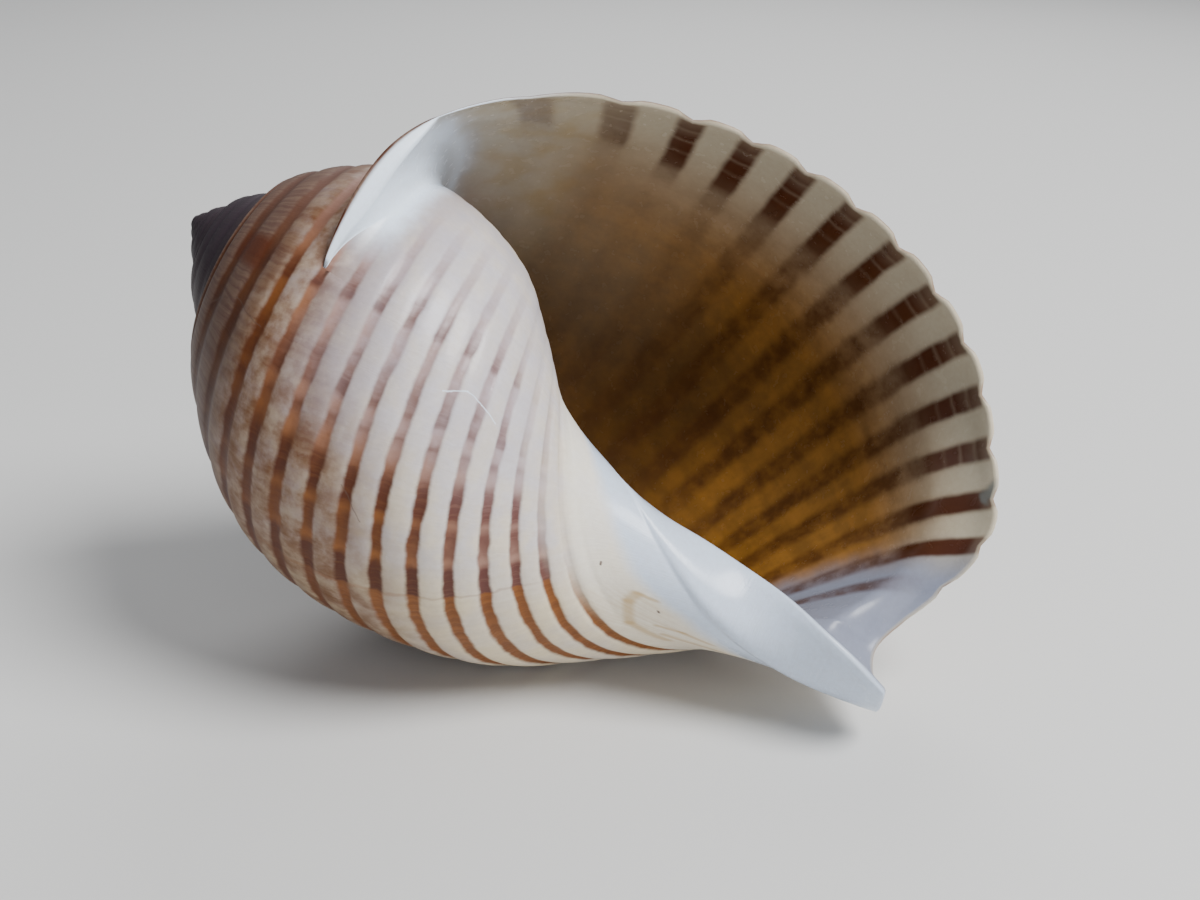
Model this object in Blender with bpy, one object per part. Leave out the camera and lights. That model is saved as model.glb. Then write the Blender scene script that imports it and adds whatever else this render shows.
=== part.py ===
"""Channeled tun shell, one solid.

The shell is a dextral spiral. Every point is given by two numbers: theta, the angle grown around the coiling
axis (0 at the outer lip, negative towards the apex), and u, the rib number counted from the anterior end.
The brown furrows stand at whole numbers of u. The apex is the origin of the shell frame: e3 runs along the
coiling axis to the anterior end, e1 towards the outer lip and e2 out of the aperture. Lengths are millimetres
until the last step.
"""
import math

import bmesh
import bpy
import numpy as np

MM = 0.001
TURN = 2.0 * math.pi

# Growth: radius and height grow by exp(rate), and the rate is constant before the last full turn
GROWTH_RATE = 0.16157
GROWTH_RATE_RISE = 0.00353
RISE_STARTS_AT = -TURN

# Whorl profile at theta 0, from the anterior edge (u -4) to the channelled suture (u 17.5)
PROFILE_U = (-4.0, -2.5, -1.0, 0.5, 2.0, 3.5, 5.0, 7.0, 9.0, 11.0, 13.0, 15.0, 16.2, 17.5)
PROFILE_RADIUS = (9.0, 11.6, 14.8, 18.5, 24.5, 31.1, 37.9, 43.8, 46.5, 45.8, 39.1, 26.9, 22.6, 17.9)
PROFILE_HEIGHT = (133.6, 125.6, 118.7, 113.8, 109.0, 102.5, 94.8, 81.7, 67.5, 52.4, 36.9, 22.6, 20.0, 20.3)

# Outline of the outer lip as the angle at which each rib ends, with the siphonal notch near u -2.5
LIP_U = (-4.0, -2.5, -1.0, 1.0, 2.0, 4.0, 7.0, 11.0, 13.0, 15.0, 16.2, 17.5)
LIP_DEGREES = (-112.0, -95.6, -79.2, -47.3, -33.0, -22.5, -13.7, -8.8, 0.6, 29.5, 47.9, 74.7)
LIP_SCALLOP_DEGREES = 0.8

# Where a whorl joins the one before it: outside in the channel and inside behind the wall
SUTURE_U = 17.5
JOIN_OUTER_U = 11.11
JOIN_INNER_U = 10.2
JOIN_BLEND_FROM_U = 14.0
INNER_ENDS_AT_U = 16.0

# Free inner edge of the twisted columella, as points in the shell frame at given growth angles
COLUMELLA_DEGREES = (-333.0, -300.0, -270.0, -240.0, -210.0, -180.0, -165.0, -150.0, -135.0, -122.0, -112.0)
COLUMELLA_E1 = (1.9, 2.3, 2.1, 2.2, 2.1, 1.9, 1.5, 0.95, 0.35, -0.4, -1.1)
COLUMELLA_E2 = (1.0, 1.1, 1.1, 0.5, 0.1, 1.5, 2.5, 3.3, 3.3, 2.4, 0.9)
COLUMELLA_FREE_U = -7.0
COLUMELLA_SEAM_U = -4.0
COLUMELLA_BULGE = 0.36
BULGE_GROWS_OVER_DEGREES = 30.0
TIP_ROUNDING = 0.9
TIP_FROM_DEGREES = -135.0

# Ribs: broad and flat, with a narrow furrow of this depth between them at full size
FURROW_DEPTH = 0.65
FURROW_SHARPNESS = 3.0
FIRST_FURROW_U = -0.3
FURROW_FADE_U = 1.2
LAST_FURROW_U = 17.1

# Wall thickness on the whorl, thinner on the small whorls and thicker towards the anterior end, with the
# callus added on the columella, and the thinning at free edges
WALL = 1.3
WALL_SMALL_SHARE = 0.2
ANTERIOR_GAIN = 1.6
THICK_FROM_U = 9.0
THICK_FADE_U = 8.0
CALLUS = 4.5
CALLUS_FROM_U = 2.0
CALLUS_FADE_U = 5.0
FILL_FROM_U = -1.0
LIP_THICKNESS = 1.1
LIP_THINNING = 0.3
EDGE_THICKNESS = 1.4

# Mesh rows and columns, the end of the solid pillar, the blind end of the hollow and the first whorl
FINE_STEP = math.radians(9.0)
DEEP_STEP = math.radians(18.0)
SPIRE_STEP = math.radians(18.0)
FINE_FROM = math.radians(-450.0)
LIP_SHIFT_RANGE = 4.2
PILLAR_END = math.radians(-333.0)
LUMEN_END = math.radians(-690.0)
APEX_START = -5.0 * TURN
PILLAR_CREST = 0.2
APEX_TIP_SHARE = 0.4
NORMAL_STEP = 0.01

# Resting pose: direction of the coiling axis, spin of the lip about it, and a small worn flat underneath
AXIS_AZIMUTH = math.radians(-22.25)
AXIS_DIP = math.radians(24.68)
LIP_SPIN = math.radians(-24.77)
REST_FLAT = 0.5

SHELL_COLOUR = (0.72, 0.52, 0.36, 1.0)


def natural_spline(knots, values):
    """Natural cubic spline through a few points, as a function."""
    x = np.array(knots, float)
    y = np.array(values, float)
    n = len(x)
    h = np.diff(x)
    matrix = np.eye(n)
    right = np.zeros(n)
    for i in range(1, n - 1):
        matrix[i, i - 1:i + 2] = (h[i - 1], 2.0 * (h[i - 1] + h[i]), h[i])
        right[i] = 6.0 * ((y[i + 1] - y[i]) / h[i] - (y[i] - y[i - 1]) / h[i - 1])
    bend = np.linalg.solve(matrix, right)

    def value(t):
        t = np.asarray(t, float)
        i = np.clip(np.searchsorted(x, t) - 1, 0, n - 2)
        a = x[i + 1] - t
        b = t - x[i]
        cubic = (bend[i] * a ** 3 + bend[i + 1] * b ** 3) / (6.0 * h[i])
        start = y[i] / h[i] - bend[i] * h[i] / 6.0
        end = y[i + 1] / h[i] - bend[i + 1] * h[i] / 6.0
        return cubic + start * a + end * b

    return value


def ease(t):
    """Smooth step from 0 to 1."""
    t = np.clip(t, 0.0, 1.0)
    return t * t * (3.0 - 2.0 * t)


profile_radius = natural_spline(PROFILE_U, PROFILE_RADIUS)
profile_height = natural_spline(PROFILE_U, PROFILE_HEIGHT)
lip_degrees = natural_spline(LIP_U, LIP_DEGREES)
columella_e1 = natural_spline(COLUMELLA_DEGREES, COLUMELLA_E1)
columella_e2 = natural_spline(COLUMELLA_DEGREES, COLUMELLA_E2)


def growth(theta):
    """Size of the shell at a growth angle, 1 at the outer lip."""
    t = np.maximum(theta, RISE_STARTS_AT)
    early_rate = GROWTH_RATE + 2.0 * GROWTH_RATE_RISE * RISE_STARTS_AT
    return np.exp(GROWTH_RATE * t + GROWTH_RATE_RISE * t * t + early_rate * (theta - t))


def furrow(u):
    """1 in the middle of a furrow, 0 on a rib, fading out on the columella and in the channel."""
    wave = (0.5 + 0.5 * np.cos(TURN * u)) ** FURROW_SHARPNESS
    return wave * ease((u - FIRST_FURROW_U) / FURROW_FADE_U) * ease(LAST_FURROW_U - u)


def lip_angle(u):
    """Growth angle of the outer lip at rib number u."""
    plain = np.radians(lip_degrees(np.maximum(u, COLUMELLA_SEAM_U)))
    return plain - math.radians(LIP_SCALLOP_DEGREES) * furrow(u)


def spiral_point(theta, u):
    """Whorl surface without ribs and before the suture is joined."""
    s = growth(theta)
    r = profile_radius(u) * s
    return np.stack([r * np.cos(theta), r * np.sin(theta), profile_height(u) * s], -1)


def columella_point(theta, u):
    """Front of the columella: a bulging sheet from the spiral at the seam to its free edge."""
    start = spiral_point(theta, np.full_like(theta, COLUMELLA_SEAM_U))
    degrees = np.degrees(theta)
    end = np.stack([columella_e1(degrees), columella_e2(degrees), start[..., 2]], -1)
    chord = np.linalg.norm(end - start, axis=-1, keepdims=True)
    along = np.stack([np.sin(theta), -np.cos(theta), np.zeros_like(theta)], -1)
    bulge = COLUMELLA_BULGE * ease((degrees - COLUMELLA_DEGREES[0]) / BULGE_GROWS_OVER_DEGREES)[..., None]
    middle = start + bulge * chord * along
    v = ((COLUMELLA_SEAM_U - u) / (COLUMELLA_SEAM_U - COLUMELLA_FREE_U))[..., None]
    point = (1.0 - v) ** 2 * start + 2.0 * v * (1.0 - v) * middle + v * v * end
    tip = ease((degrees - TIP_FROM_DEGREES) / (COLUMELLA_DEGREES[-1] - TIP_FROM_DEGREES))[..., None]
    point[..., 2:] += TIP_ROUNDING * tip * 4.0 * v * (1.0 - v)
    return point


def base_point(theta, u):
    """Whorl surface without ribs, bent near the suture so that it ends on the whorl before."""
    theta, u = np.broadcast_arrays(np.asarray(theta, float), np.asarray(u, float))
    point = spiral_point(theta, np.maximum(u, COLUMELLA_SEAM_U))
    landing = spiral_point(theta - TURN, np.full_like(u, JOIN_OUTER_U))
    gap = landing - spiral_point(theta, np.full_like(u, SUTURE_U))
    share = ease((u - JOIN_BLEND_FROM_U) / (SUTURE_U - JOIN_BLEND_FROM_U))
    point = point + gap * share[..., None]
    return np.where((u < COLUMELLA_SEAM_U)[..., None], columella_point(theta, u), point)


def outward(theta, u):
    """Unit normal pointing out of the whorl."""
    along = base_point(theta + NORMAL_STEP, u) - base_point(theta - NORMAL_STEP, u)
    across = base_point(theta, u + NORMAL_STEP) - base_point(theta, u - NORMAL_STEP)
    n = -np.cross(along, across)
    return n / np.linalg.norm(n, axis=-1, keepdims=True)


def outer_skin(theta, u):
    theta, u = np.broadcast_arrays(np.asarray(theta, float), np.asarray(u, float))
    lift = -FURROW_DEPTH * furrow(u) * growth(theta)
    return base_point(theta, u) + outward(theta, u) * lift[..., None]


def wall_thickness(theta, u):
    """Thickness of the wall, thicker on the base and the columella."""
    size = growth(theta)
    plain = WALL * (WALL_SMALL_SHARE + (1.0 - WALL_SMALL_SHARE) * size)
    plain = plain * (1.0 + ANTERIOR_GAIN * ease((THICK_FROM_U - u) / THICK_FADE_U))
    return plain + CALLUS * ease((CALLUS_FROM_U - u) / CALLUS_FADE_U) * size


def inner_skin(theta, u):
    """Inside of the wall; behind the columella it runs straight from the base to the free edge."""
    theta, u = np.broadcast_arrays(np.asarray(theta, float), np.asarray(u, float))
    wall_u = np.maximum(u, FILL_FROM_U)
    wall = base_point(theta, wall_u) - outward(theta, wall_u) * wall_thickness(theta, wall_u)[..., None]
    edge_theta = np.clip(theta, math.radians(COLUMELLA_DEGREES[0]), math.radians(COLUMELLA_DEGREES[-1]))
    edge_u = np.full_like(u, COLUMELLA_FREE_U)
    edge = base_point(edge_theta, edge_u)
    edge = edge - outward(edge_theta, edge_u) * (EDGE_THICKNESS * growth(edge_theta))[..., None]
    turned = theta - edge_theta
    across = np.stack([edge[..., 0] * np.cos(turned) - edge[..., 1] * np.sin(turned),
                       edge[..., 0] * np.sin(turned) + edge[..., 1] * np.cos(turned), edge[..., 2]], -1)
    edge = across * (growth(theta) / growth(edge_theta))[..., None]
    share = np.clip((FILL_FROM_U - u) / (FILL_FROM_U - COLUMELLA_FREE_U), 0.0, 1.0)[..., None]
    filled = wall + (edge - wall) * share
    thin = base_point(theta, u) - outward(theta, u) * LIP_THICKNESS
    near_lip = ease((theta - lip_angle(u) + LIP_THINNING) / LIP_THINNING)[..., None]
    return filled + (thin - filled) * near_lip


def column_angle(tau, u):
    """Growth angle of mesh column tau in row u: plain far from the lip, following the lip outline near it."""
    return tau + lip_angle(u) * np.clip((tau + LIP_SHIFT_RANGE) / LIP_SHIFT_RANGE, 0.0, 1.0)


class Skin:
    """Collects points and triangles of the closed surface."""

    def __init__(self):
        self.points = []
        self.faces = []

    def add(self, points):
        first = len(self.points)
        self.points.extend(np.asarray(points, float).reshape(-1, 3))
        return list(range(first, len(self.points)))

    def face(self, a, b, c):
        if a != b and b != c and a != c:
            self.faces.append((a, b, c))

    def quads(self, left, right):
        """Strip between two rows with the same number of points."""
        for i in range(len(left) - 1):
            self.face(left[i], right[i], right[i + 1])
            self.face(left[i], right[i + 1], left[i + 1])

    def shares(self, row):
        """Length along a row at each of its points, as a share of the whole."""
        points = np.array([self.points[i] for i in row])
        lengths = np.concatenate([[0.0], np.cumsum(np.linalg.norm(np.diff(points, axis=0), axis=1))])
        return lengths / lengths[-1]

    def zip_rows(self, left, right):
        """Strip between two rows with different numbers of points, matched by their share of the length."""
        p = self.shares(left)
        q = self.shares(right)
        i = 0
        j = 0
        while i < len(p) - 1 or j < len(q) - 1:
            if j == len(q) - 1 or (i < len(p) - 1 and p[i + 1] < q[j + 1]):
                self.face(left[i], right[j], left[i + 1])
                i += 1
            else:
                self.face(left[i], right[j], right[j + 1])
                j += 1


def mesh_rows():
    """Rib numbers of the mesh rows: the columella, its base, and every furrow and rib."""
    columella = [-7.0, -6.3, -5.5, -4.7]
    base = [-4.0, -3.25, -2.5, -1.75, -1.0, -0.25, 0.5]
    ribs = [0.5 * i for i in range(2, 35)]
    return columella, base, ribs


def ladder(first, last, step):
    """Evenly spaced angles from first up to but not including last."""
    count = max(1, int(round((last - first) / step)))
    return [first + i * (last - first) / count for i in range(count)]


def build_shell(skin):
    columella, base, ribs = mesh_rows()
    below = base + [u for u in ribs if u < JOIN_INNER_U]
    above = [u for u in ribs if u > JOIN_OUTER_U]
    crests = [u for u in ribs if (u * 2.0) % 2.0 == 1.0]
    below_deep = [u for u in below if u in (-4.0, -2.5, -1.0, 0.5) or u in crests]
    inner_us = sorted({u for u in below_deep + crests if u < INNER_ENDS_AT_U})

    # Columns: angles on the spire, on the hidden part of the whorls, and on the last whorl up to the lip
    deep_start = LUMEN_END - TURN
    spire = np.array(ladder(APEX_START, deep_start, SPIRE_STEP))
    deep = np.array(ladder(deep_start, FINE_FROM, DEEP_STEP))
    fine = np.array(ladder(FINE_FROM, 0.0, FINE_STEP) + [0.0])
    main = np.concatenate([deep, fine])
    nd = len(deep)

    # Outer skin above the suture line, seen from outside on every whorl
    rows = {u: skin.add(outer_skin(column_angle(main, u), u)) for u in above}
    suture_tau = np.concatenate([spire, main])
    suture_theta = column_angle(suture_tau, SUTURE_U)
    join_outer = skin.add(outer_skin(suture_theta - TURN, JOIN_OUTER_U))
    spire_us = [u for u in crests if u in above]
    spire_rows = {u: skin.add(outer_skin(spire, u)) for u in spire_us}
    ns = len(spire)
    for a, b in zip(above[:-1], above[1:]):
        skin.quads(rows[a], rows[b])
    skin.quads(rows[above[-1]], join_outer[ns:])
    for a, b in zip(spire_us[:-1], spire_us[1:]):
        skin.quads(spire_rows[a], spire_rows[b])
    skin.quads(spire_rows[spire_us[-1]], join_outer[:ns])
    skin.zip_rows([spire_rows[u][-1] for u in spire_us] + [join_outer[ns - 1]],
                  [rows[u][0] for u in above] + [join_outer[ns]])

    # Outer skin below the suture line, with fewer rows where later whorls cover it
    middle = [u for u in ribs if JOIN_INNER_U < u < JOIN_OUTER_U]
    for u in below + middle:
        rows[u] = skin.add(outer_skin(column_angle(fine, u), u))
    deep_rows = {u: skin.add(outer_skin(deep, u)) for u in below_deep}
    for a, b in zip(below[:-1], below[1:]):
        skin.quads(rows[a], rows[b])
    for a, b in zip(below_deep[:-1], below_deep[1:]):
        skin.quads(deep_rows[a], deep_rows[b])
    skin.zip_rows([deep_rows[u][-1] for u in below_deep], [rows[u][0] for u in below])
    lower_edge = deep_rows[below_deep[-1]] + rows[below[-1]]
    seam = deep_rows[COLUMELLA_SEAM_U] + rows[COLUMELLA_SEAM_U]

    # Inner skin from the blind end of the hollow to the lip, and its joint behind the suture
    lumen = main[main > LUMEN_END - 1e-6]
    inner = {u: skin.add(inner_skin(column_angle(lumen, u), u)) for u in inner_us}
    join_inner = skin.add(outer_skin(column_angle(lumen, SUTURE_U) - TURN, JOIN_INNER_U))
    for a, b in zip(inner_us[:-1], inner_us[1:]):
        skin.quads(inner[b], inner[a])
    skin.quads(join_inner, inner[inner_us[-1]])

    # Front and back of the columella and its free edge, from the end of the solid pillar to the tip
    free = fine[fine > PILLAR_END - 1e-6]
    free_from = len(main) - len(free)
    free_in_lumen = len(lumen) - len(free)
    free_theta = column_angle(free, COLUMELLA_SEAM_U)
    for u in columella:
        inner[u] = skin.add(inner_skin(free_theta, u))
    inner_seam = inner[COLUMELLA_SEAM_U][free_in_lumen:]
    front = {u: skin.add(outer_skin(free_theta, u)) for u in columella}
    order = columella + [COLUMELLA_SEAM_U]
    front[COLUMELLA_SEAM_U] = seam[free_from:]
    back = dict(inner)
    back[COLUMELLA_SEAM_U] = inner_seam
    for a, b in zip(order[:-1], order[1:]):
        skin.quads(front[a], front[b])
        skin.quads(back[b], back[a])
    skin.quads(back[COLUMELLA_FREE_U], front[COLUMELLA_FREE_U])

    # Lip edge from the columella tip to the suture
    lip_out = [front[u][-1] for u in columella] + [rows[u][-1] for u in below + middle + above]
    lip_out.append(join_outer[-1])
    lip_in = [inner[u][-1] for u in columella + inner_us] + [join_inner[-1]]
    skin.zip_rows(lip_in, lip_out)

    # The strip of each whorl to either side of its joint with the next whorl
    join_from = int(np.searchsorted(suture_theta - TURN, APEX_START - 1e-9))
    last_theta = float(suture_theta[-1] - TURN)
    split = int(np.searchsorted(column_angle(fine, JOIN_OUTER_U), last_theta)) - 1
    upper_edge = spire_rows[above[0]] + rows[above[0]]
    skin.zip_rows(join_outer[join_from:], upper_edge[:ns + nd + split + 1])
    skin.zip_rows(lower_edge[:nd + split + 1], join_inner)
    hub = [rows[middle[-1]][split + 1], rows[above[0]][nd + split + 1], rows[above[0]][nd + split]]
    hub += [join_outer[-1], join_inner[-1], rows[below[-1]][split], rows[below[-1]][split + 1]]
    hub += [rows[u][split + 1] for u in middle[:-1]]
    for a, b in zip(hub[1:-1], hub[2:]):
        skin.face(hub[0], a, b)
    beyond = [rows[u][split + 1:] for u in [below[-1]] + middle] + [rows[above[0]][nd + split + 1:]]
    for a, b in zip(beyond[:-1], beyond[1:]):
        skin.quads(a, b)

    # Solid pillar: its wall in the hollow, a ramp from the spiral to the axis, and the step where it ends
    pillar_low = int(np.searchsorted(main, PILLAR_END - TURN - 1e-6))
    skin.zip_rows(inner[COLUMELLA_SEAM_U][:free_in_lumen + 1], seam[:pillar_low + 1])
    axis = skin.add([(0.0, 0.0, skin.points[i][2] + PILLAR_CREST) for i in seam[pillar_low:free_from + 1]])
    skin.quads(axis, seam[pillar_low:free_from + 1])
    fan = [front[u][0] for u in columella] + [seam[free_from]]
    for a, b in zip(fan[:-1], fan[1:]):
        skin.face(axis[-1], a, b)
    step_arc = [back[u][0] for u in reversed(order)] + [front[COLUMELLA_FREE_U][0], axis[-1]]
    skin.zip_rows(step_arc, [seam[pillar_low]] + axis)

    # Blind end of the hollow
    outer_arc = [join_inner[0]] + [inner[u][0] for u in reversed(inner_us)]
    inner_arc = [deep_rows[u][0] for u in reversed(below_deep)]
    skin.zip_rows(outer_arc, inner_arc)

    # Apex
    loop = join_outer[:join_from + 1] + [spire_rows[u][0] for u in spire_us]
    tip = skin.add([np.mean([skin.points[i] for i in loop], axis=0) * APEX_TIP_SHARE])[0]
    for a, b in zip(loop, loop[1:] + loop[:1]):
        skin.face(tip, a, b)
    return skin


def pose_matrix():
    """Rows of the world axes in the shell frame, as a 3 by 3 matrix."""
    e3 = np.array([math.cos(AXIS_DIP) * math.cos(AXIS_AZIMUTH), math.cos(AXIS_DIP) * math.sin(AXIS_AZIMUTH),
                   -math.sin(AXIS_DIP)])
    up = np.array([0.0, 0.0, 1.0])
    up = up - e3 * (up @ e3)
    up = up / np.linalg.norm(up)
    side = np.cross(e3, up)
    e1 = math.cos(LIP_SPIN) * up + math.sin(LIP_SPIN) * side
    e2 = np.cross(e3, e1)
    return np.stack([e1, e2, e3], 1)


def main():
    for old in list(bpy.data.objects):
        bpy.data.objects.remove(old, do_unlink=True)
    skin = build_shell(Skin())
    points = np.array(skin.points) @ pose_matrix().T
    low = points.min(axis=0)
    high = points.max(axis=0)
    base = np.array([(low[0] + high[0]) / 2.0, (low[1] + high[1]) / 2.0, low[2] + REST_FLAT])
    points = (points - base) * MM
    mesh = bpy.data.meshes.new("tun_shell")
    mesh.from_pydata([tuple(p) for p in points], [], skin.faces)
    shell = bpy.data.objects.new("tun_shell", mesh)
    bpy.context.scene.collection.objects.link(shell)
    bm = bmesh.new()
    bm.from_mesh(mesh)
    bmesh.ops.delete(bm, geom=[v for v in bm.verts if not v.link_faces], context="VERTS")
    bmesh.ops.remove_doubles(bm, verts=bm.verts, dist=1e-7)
    # The worn flat: everything under the floor plane is cut away and the cut is closed
    everything = list(bm.verts) + list(bm.edges) + list(bm.faces)
    bmesh.ops.bisect_plane(bm, geom=everything, dist=1e-8, plane_co=(0.0, 0.0, 0.0), plane_no=(0.0, 0.0, 1.0),
                           clear_inner=True)
    bmesh.ops.holes_fill(bm, edges=[e for e in bm.edges if e.is_boundary], sides=0)
    bmesh.ops.triangulate(bm, faces=bm.faces)
    bmesh.ops.recalc_face_normals(bm, faces=bm.faces)
    bm.to_mesh(mesh)
    bm.free()
    for polygon in mesh.polygons:
        polygon.use_smooth = True
    material = bpy.data.materials.new("shell")
    material.use_nodes = True
    surface = material.node_tree.nodes["Principled BSDF"]
    surface.inputs["Base Color"].default_value = SHELL_COLOUR
    surface.inputs["Roughness"].default_value = 0.35
    mesh.materials.append(material)


main()
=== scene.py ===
"""Channeled tun shell for Blender: the fine shell surface, its markings and glaze, and a plain studio.

Every point of the shell is given by theta, the angle grown about the coiling axis (0 near the outer lip,
negative towards the apex), and by the rib number u counted from the front end. The brown furrows stand at
whole numbers of u. Shell lengths are millimetres, and the apex is the origin until the points are placed in
the part's frame.
"""

import math

import bmesh
import bpy
import numpy as np
from mathutils import Matrix, Vector


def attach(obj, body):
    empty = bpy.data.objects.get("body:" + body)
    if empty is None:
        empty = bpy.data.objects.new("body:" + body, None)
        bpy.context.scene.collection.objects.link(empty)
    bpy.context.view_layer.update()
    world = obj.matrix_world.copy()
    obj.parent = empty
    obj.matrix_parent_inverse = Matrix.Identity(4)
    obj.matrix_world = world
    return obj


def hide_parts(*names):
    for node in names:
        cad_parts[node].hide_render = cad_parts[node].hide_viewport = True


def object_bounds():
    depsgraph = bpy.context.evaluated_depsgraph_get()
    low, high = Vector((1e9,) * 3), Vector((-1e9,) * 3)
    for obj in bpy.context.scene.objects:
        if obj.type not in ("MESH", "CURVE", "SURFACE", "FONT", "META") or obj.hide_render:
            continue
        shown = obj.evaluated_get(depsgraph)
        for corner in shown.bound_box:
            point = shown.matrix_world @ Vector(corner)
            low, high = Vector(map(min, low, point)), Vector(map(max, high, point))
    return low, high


bl_info = {
    "name": "Channeled Tun Shell",
    "version": (1, 0, 0),
    "blender": (4, 5, 0),
    "location": "3D View > Sidebar > Tun Shell",
    "description": "Builds a channeled tun shell with its markings, and a plain studio around it",
    "category": "Add Mesh",
}

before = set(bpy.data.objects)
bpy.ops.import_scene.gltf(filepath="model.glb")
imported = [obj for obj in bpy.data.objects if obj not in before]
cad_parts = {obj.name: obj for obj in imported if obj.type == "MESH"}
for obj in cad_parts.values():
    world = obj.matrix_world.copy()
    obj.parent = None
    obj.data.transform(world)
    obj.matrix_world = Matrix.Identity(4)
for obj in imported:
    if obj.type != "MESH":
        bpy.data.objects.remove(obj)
CAD_LOW, CAD_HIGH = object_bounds()

MM = 0.001
TURN = 2.0 * math.pi

# Growth and whorl profile
GROWTH_RATE = 0.16157
GROWTH_RATE_RISE = 0.00353
RISE_STARTS_AT = -TURN
PROFILE_U = (-4.0, -2.5, -1.0, 0.5, 2.0, 3.5, 5.0, 7.0, 9.0, 11.0, 13.0, 15.0, 16.2, 17.5)
PROFILE_RADIUS = (9.0, 11.6, 14.8, 18.5, 24.5, 31.1, 37.9, 43.8, 46.5, 45.8, 39.1, 26.9, 22.6, 17.9)
PROFILE_HEIGHT = (133.6, 125.6, 118.7, 113.8, 109.0, 102.5, 94.8, 81.7, 67.5, 52.4, 36.9, 22.6, 20.0, 20.3)

# Outline of the outer lip
LIP_U = (-4.0, -2.5, -1.0, 1.0, 2.0, 4.0, 7.0, 11.0, 13.0, 15.0, 16.2, 17.5)
LIP_DEGREES = (-112.0, -95.6, -79.2, -47.3, -33.0, -22.5, -13.7, -8.8, 0.6, 29.5, 47.9, 74.7)
LIP_SCALLOP_DEGREES = 0.8

# Joint of a whorl with the one before it
SUTURE_U = 17.5
JOIN_OUTER_U = 11.11
JOIN_INNER_U = 10.2
JOIN_BLEND_FROM_U = 14.0
FILLET_FROM_U = 15.0
FILLET_CORNER_U = 10.9
FOOT_NARROWING_U = 0.8
FOOT_NARROWS_FROM = math.radians(44.0)
FOOT_NARROWS_OVER = math.radians(28.0)

# Twisted columella and its free edge
COLUMELLA_DEGREES = (-333.0, -300.0, -270.0, -240.0, -210.0, -180.0, -165.0, -150.0, -135.0, -122.0, -112.0)
COLUMELLA_E1 = (1.9, 2.3, 2.1, 2.2, 2.1, 1.9, 1.5, 0.95, 0.35, -0.4, -1.1)
COLUMELLA_E2 = (1.0, 1.1, 1.1, 0.5, 0.1, 1.5, 2.5, 3.3, 3.3, 2.4, 0.9)
COLUMELLA_FREE_U = -7.0
COLUMELLA_SEAM_U = -4.0
COLUMELLA_BULGE = 0.36
BULGE_GROWS_OVER_DEGREES = 30.0
TIP_ROUNDING = 0.9
TIP_FROM_DEGREES = -135.0

# Ribs and furrows
FURROW_SHARPNESS = 3.0
FIRST_FURROW_U = -0.3
FURROW_FADE_U = 1.2
LAST_FURROW_U = 17.1

# Wall
WALL = 1.3
WALL_SMALL_SHARE = 0.2
ANTERIOR_GAIN = 1.6
THICK_FROM_U = 9.0
THICK_FADE_U = 8.0
CALLUS = 4.5
CALLUS_FROM_U = 2.0
CALLUS_FADE_U = 5.0
FILL_FROM_U = -1.0
LIP_THINNING = 0.3
EDGE_THICKNESS = 1.4
RELIEF_FADE_MM = 14.0
SUTURE_LIP_SHARE = 0.15
SUTURE_LIP_FROM_U = 12.0
SUTURE_LIP_FADE_U = 3.5

# Glaze beside the mouth, which fills the furrows under it
GLAZE_FILL = 0.75
GLAZE_FROM = math.radians(-275.0)
GLAZE_FADE = math.radians(55.0)
GLAZE_TOP_U = 11.6

# Mesh spacing
ROW_STEP = 0.125
COLUMELLA_STEP = 0.2
FINE_STEP = math.radians(2.5)
DEEP_STEP = math.radians(6.0)
SPIRE_STEP = math.radians(9.0)
FINE_FROM = math.radians(-450.0)
LIP_SHIFT_RANGE = 4.2
PILLAR_END = math.radians(-333.0)
LUMEN_END = math.radians(-690.0)
APEX_START = -5.0 * TURN
PILLAR_CREST = 0.2
APEX_TIP_SHARE = 0.4
NORMAL_STEP = 0.01
LIP_ARC_STEPS = 4

# Pose of the shell in the part's frame, and the apex seen from that frame's origin, in millimetres
AXIS_AZIMUTH = math.radians(-22.25)
AXIS_DIP = math.radians(24.68)
LIP_SPIN = math.radians(-24.77)
ORIGIN_FROM_APEX = (48.2397, -7.9917, -49.8207)

# Lean of the growth lines in degrees for each rib, and the degrees that are as long as one rib
GROWTH_LINE_LEAN = 1.77
RIB_IN_DEGREES = 7.5

# Growth scar where the dashed stripes turn plain, and how dark the stripes are along the growth before it
SCAR_DEGREES = -217.5
DASH_RANGE = (-345.0, -205.0)
DASHES = ((-345.0, 0.0), (-335.0, 0.1), (-328.0, 0.35), (-321.0, 0.12), (-316.0, 0.4), (-308.0, 0.5),
          (-303.0, 0.15), (-299.0, 0.5), (-291.0, 0.75), (-287.5, 0.15), (-282.0, 0.3), (-277.0, 0.6),
          (-268.0, 0.7), (-265.5, 0.25), (-262.0, 0.65), (-257.0, 0.3), (-252.0, 0.7), (-245.0, 0.95),
          (-241.0, 0.45), (-238.0, 0.7), (-231.5, 0.6), (-229.0, 0.35), (-226.0, 0.85), (-218.0, 1.0),
          (-215.0, 0.6))

# Bars behind the lip: how dark they are, by degrees behind it
BARS = ((0.5, 0.0), (1.2, 0.8), (3.4, 0.9), (4.2, 0.78), (5.0, 0.9), (7.0, 1.0), (7.7, 0.82), (8.4, 1.0),
        (10.6, 1.0), (11.4, 0.88), (12.2, 1.0), (15.5, 0.9), (18.0, 0.4), (22.0, 0.1), (30.0, 0.0))

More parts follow.
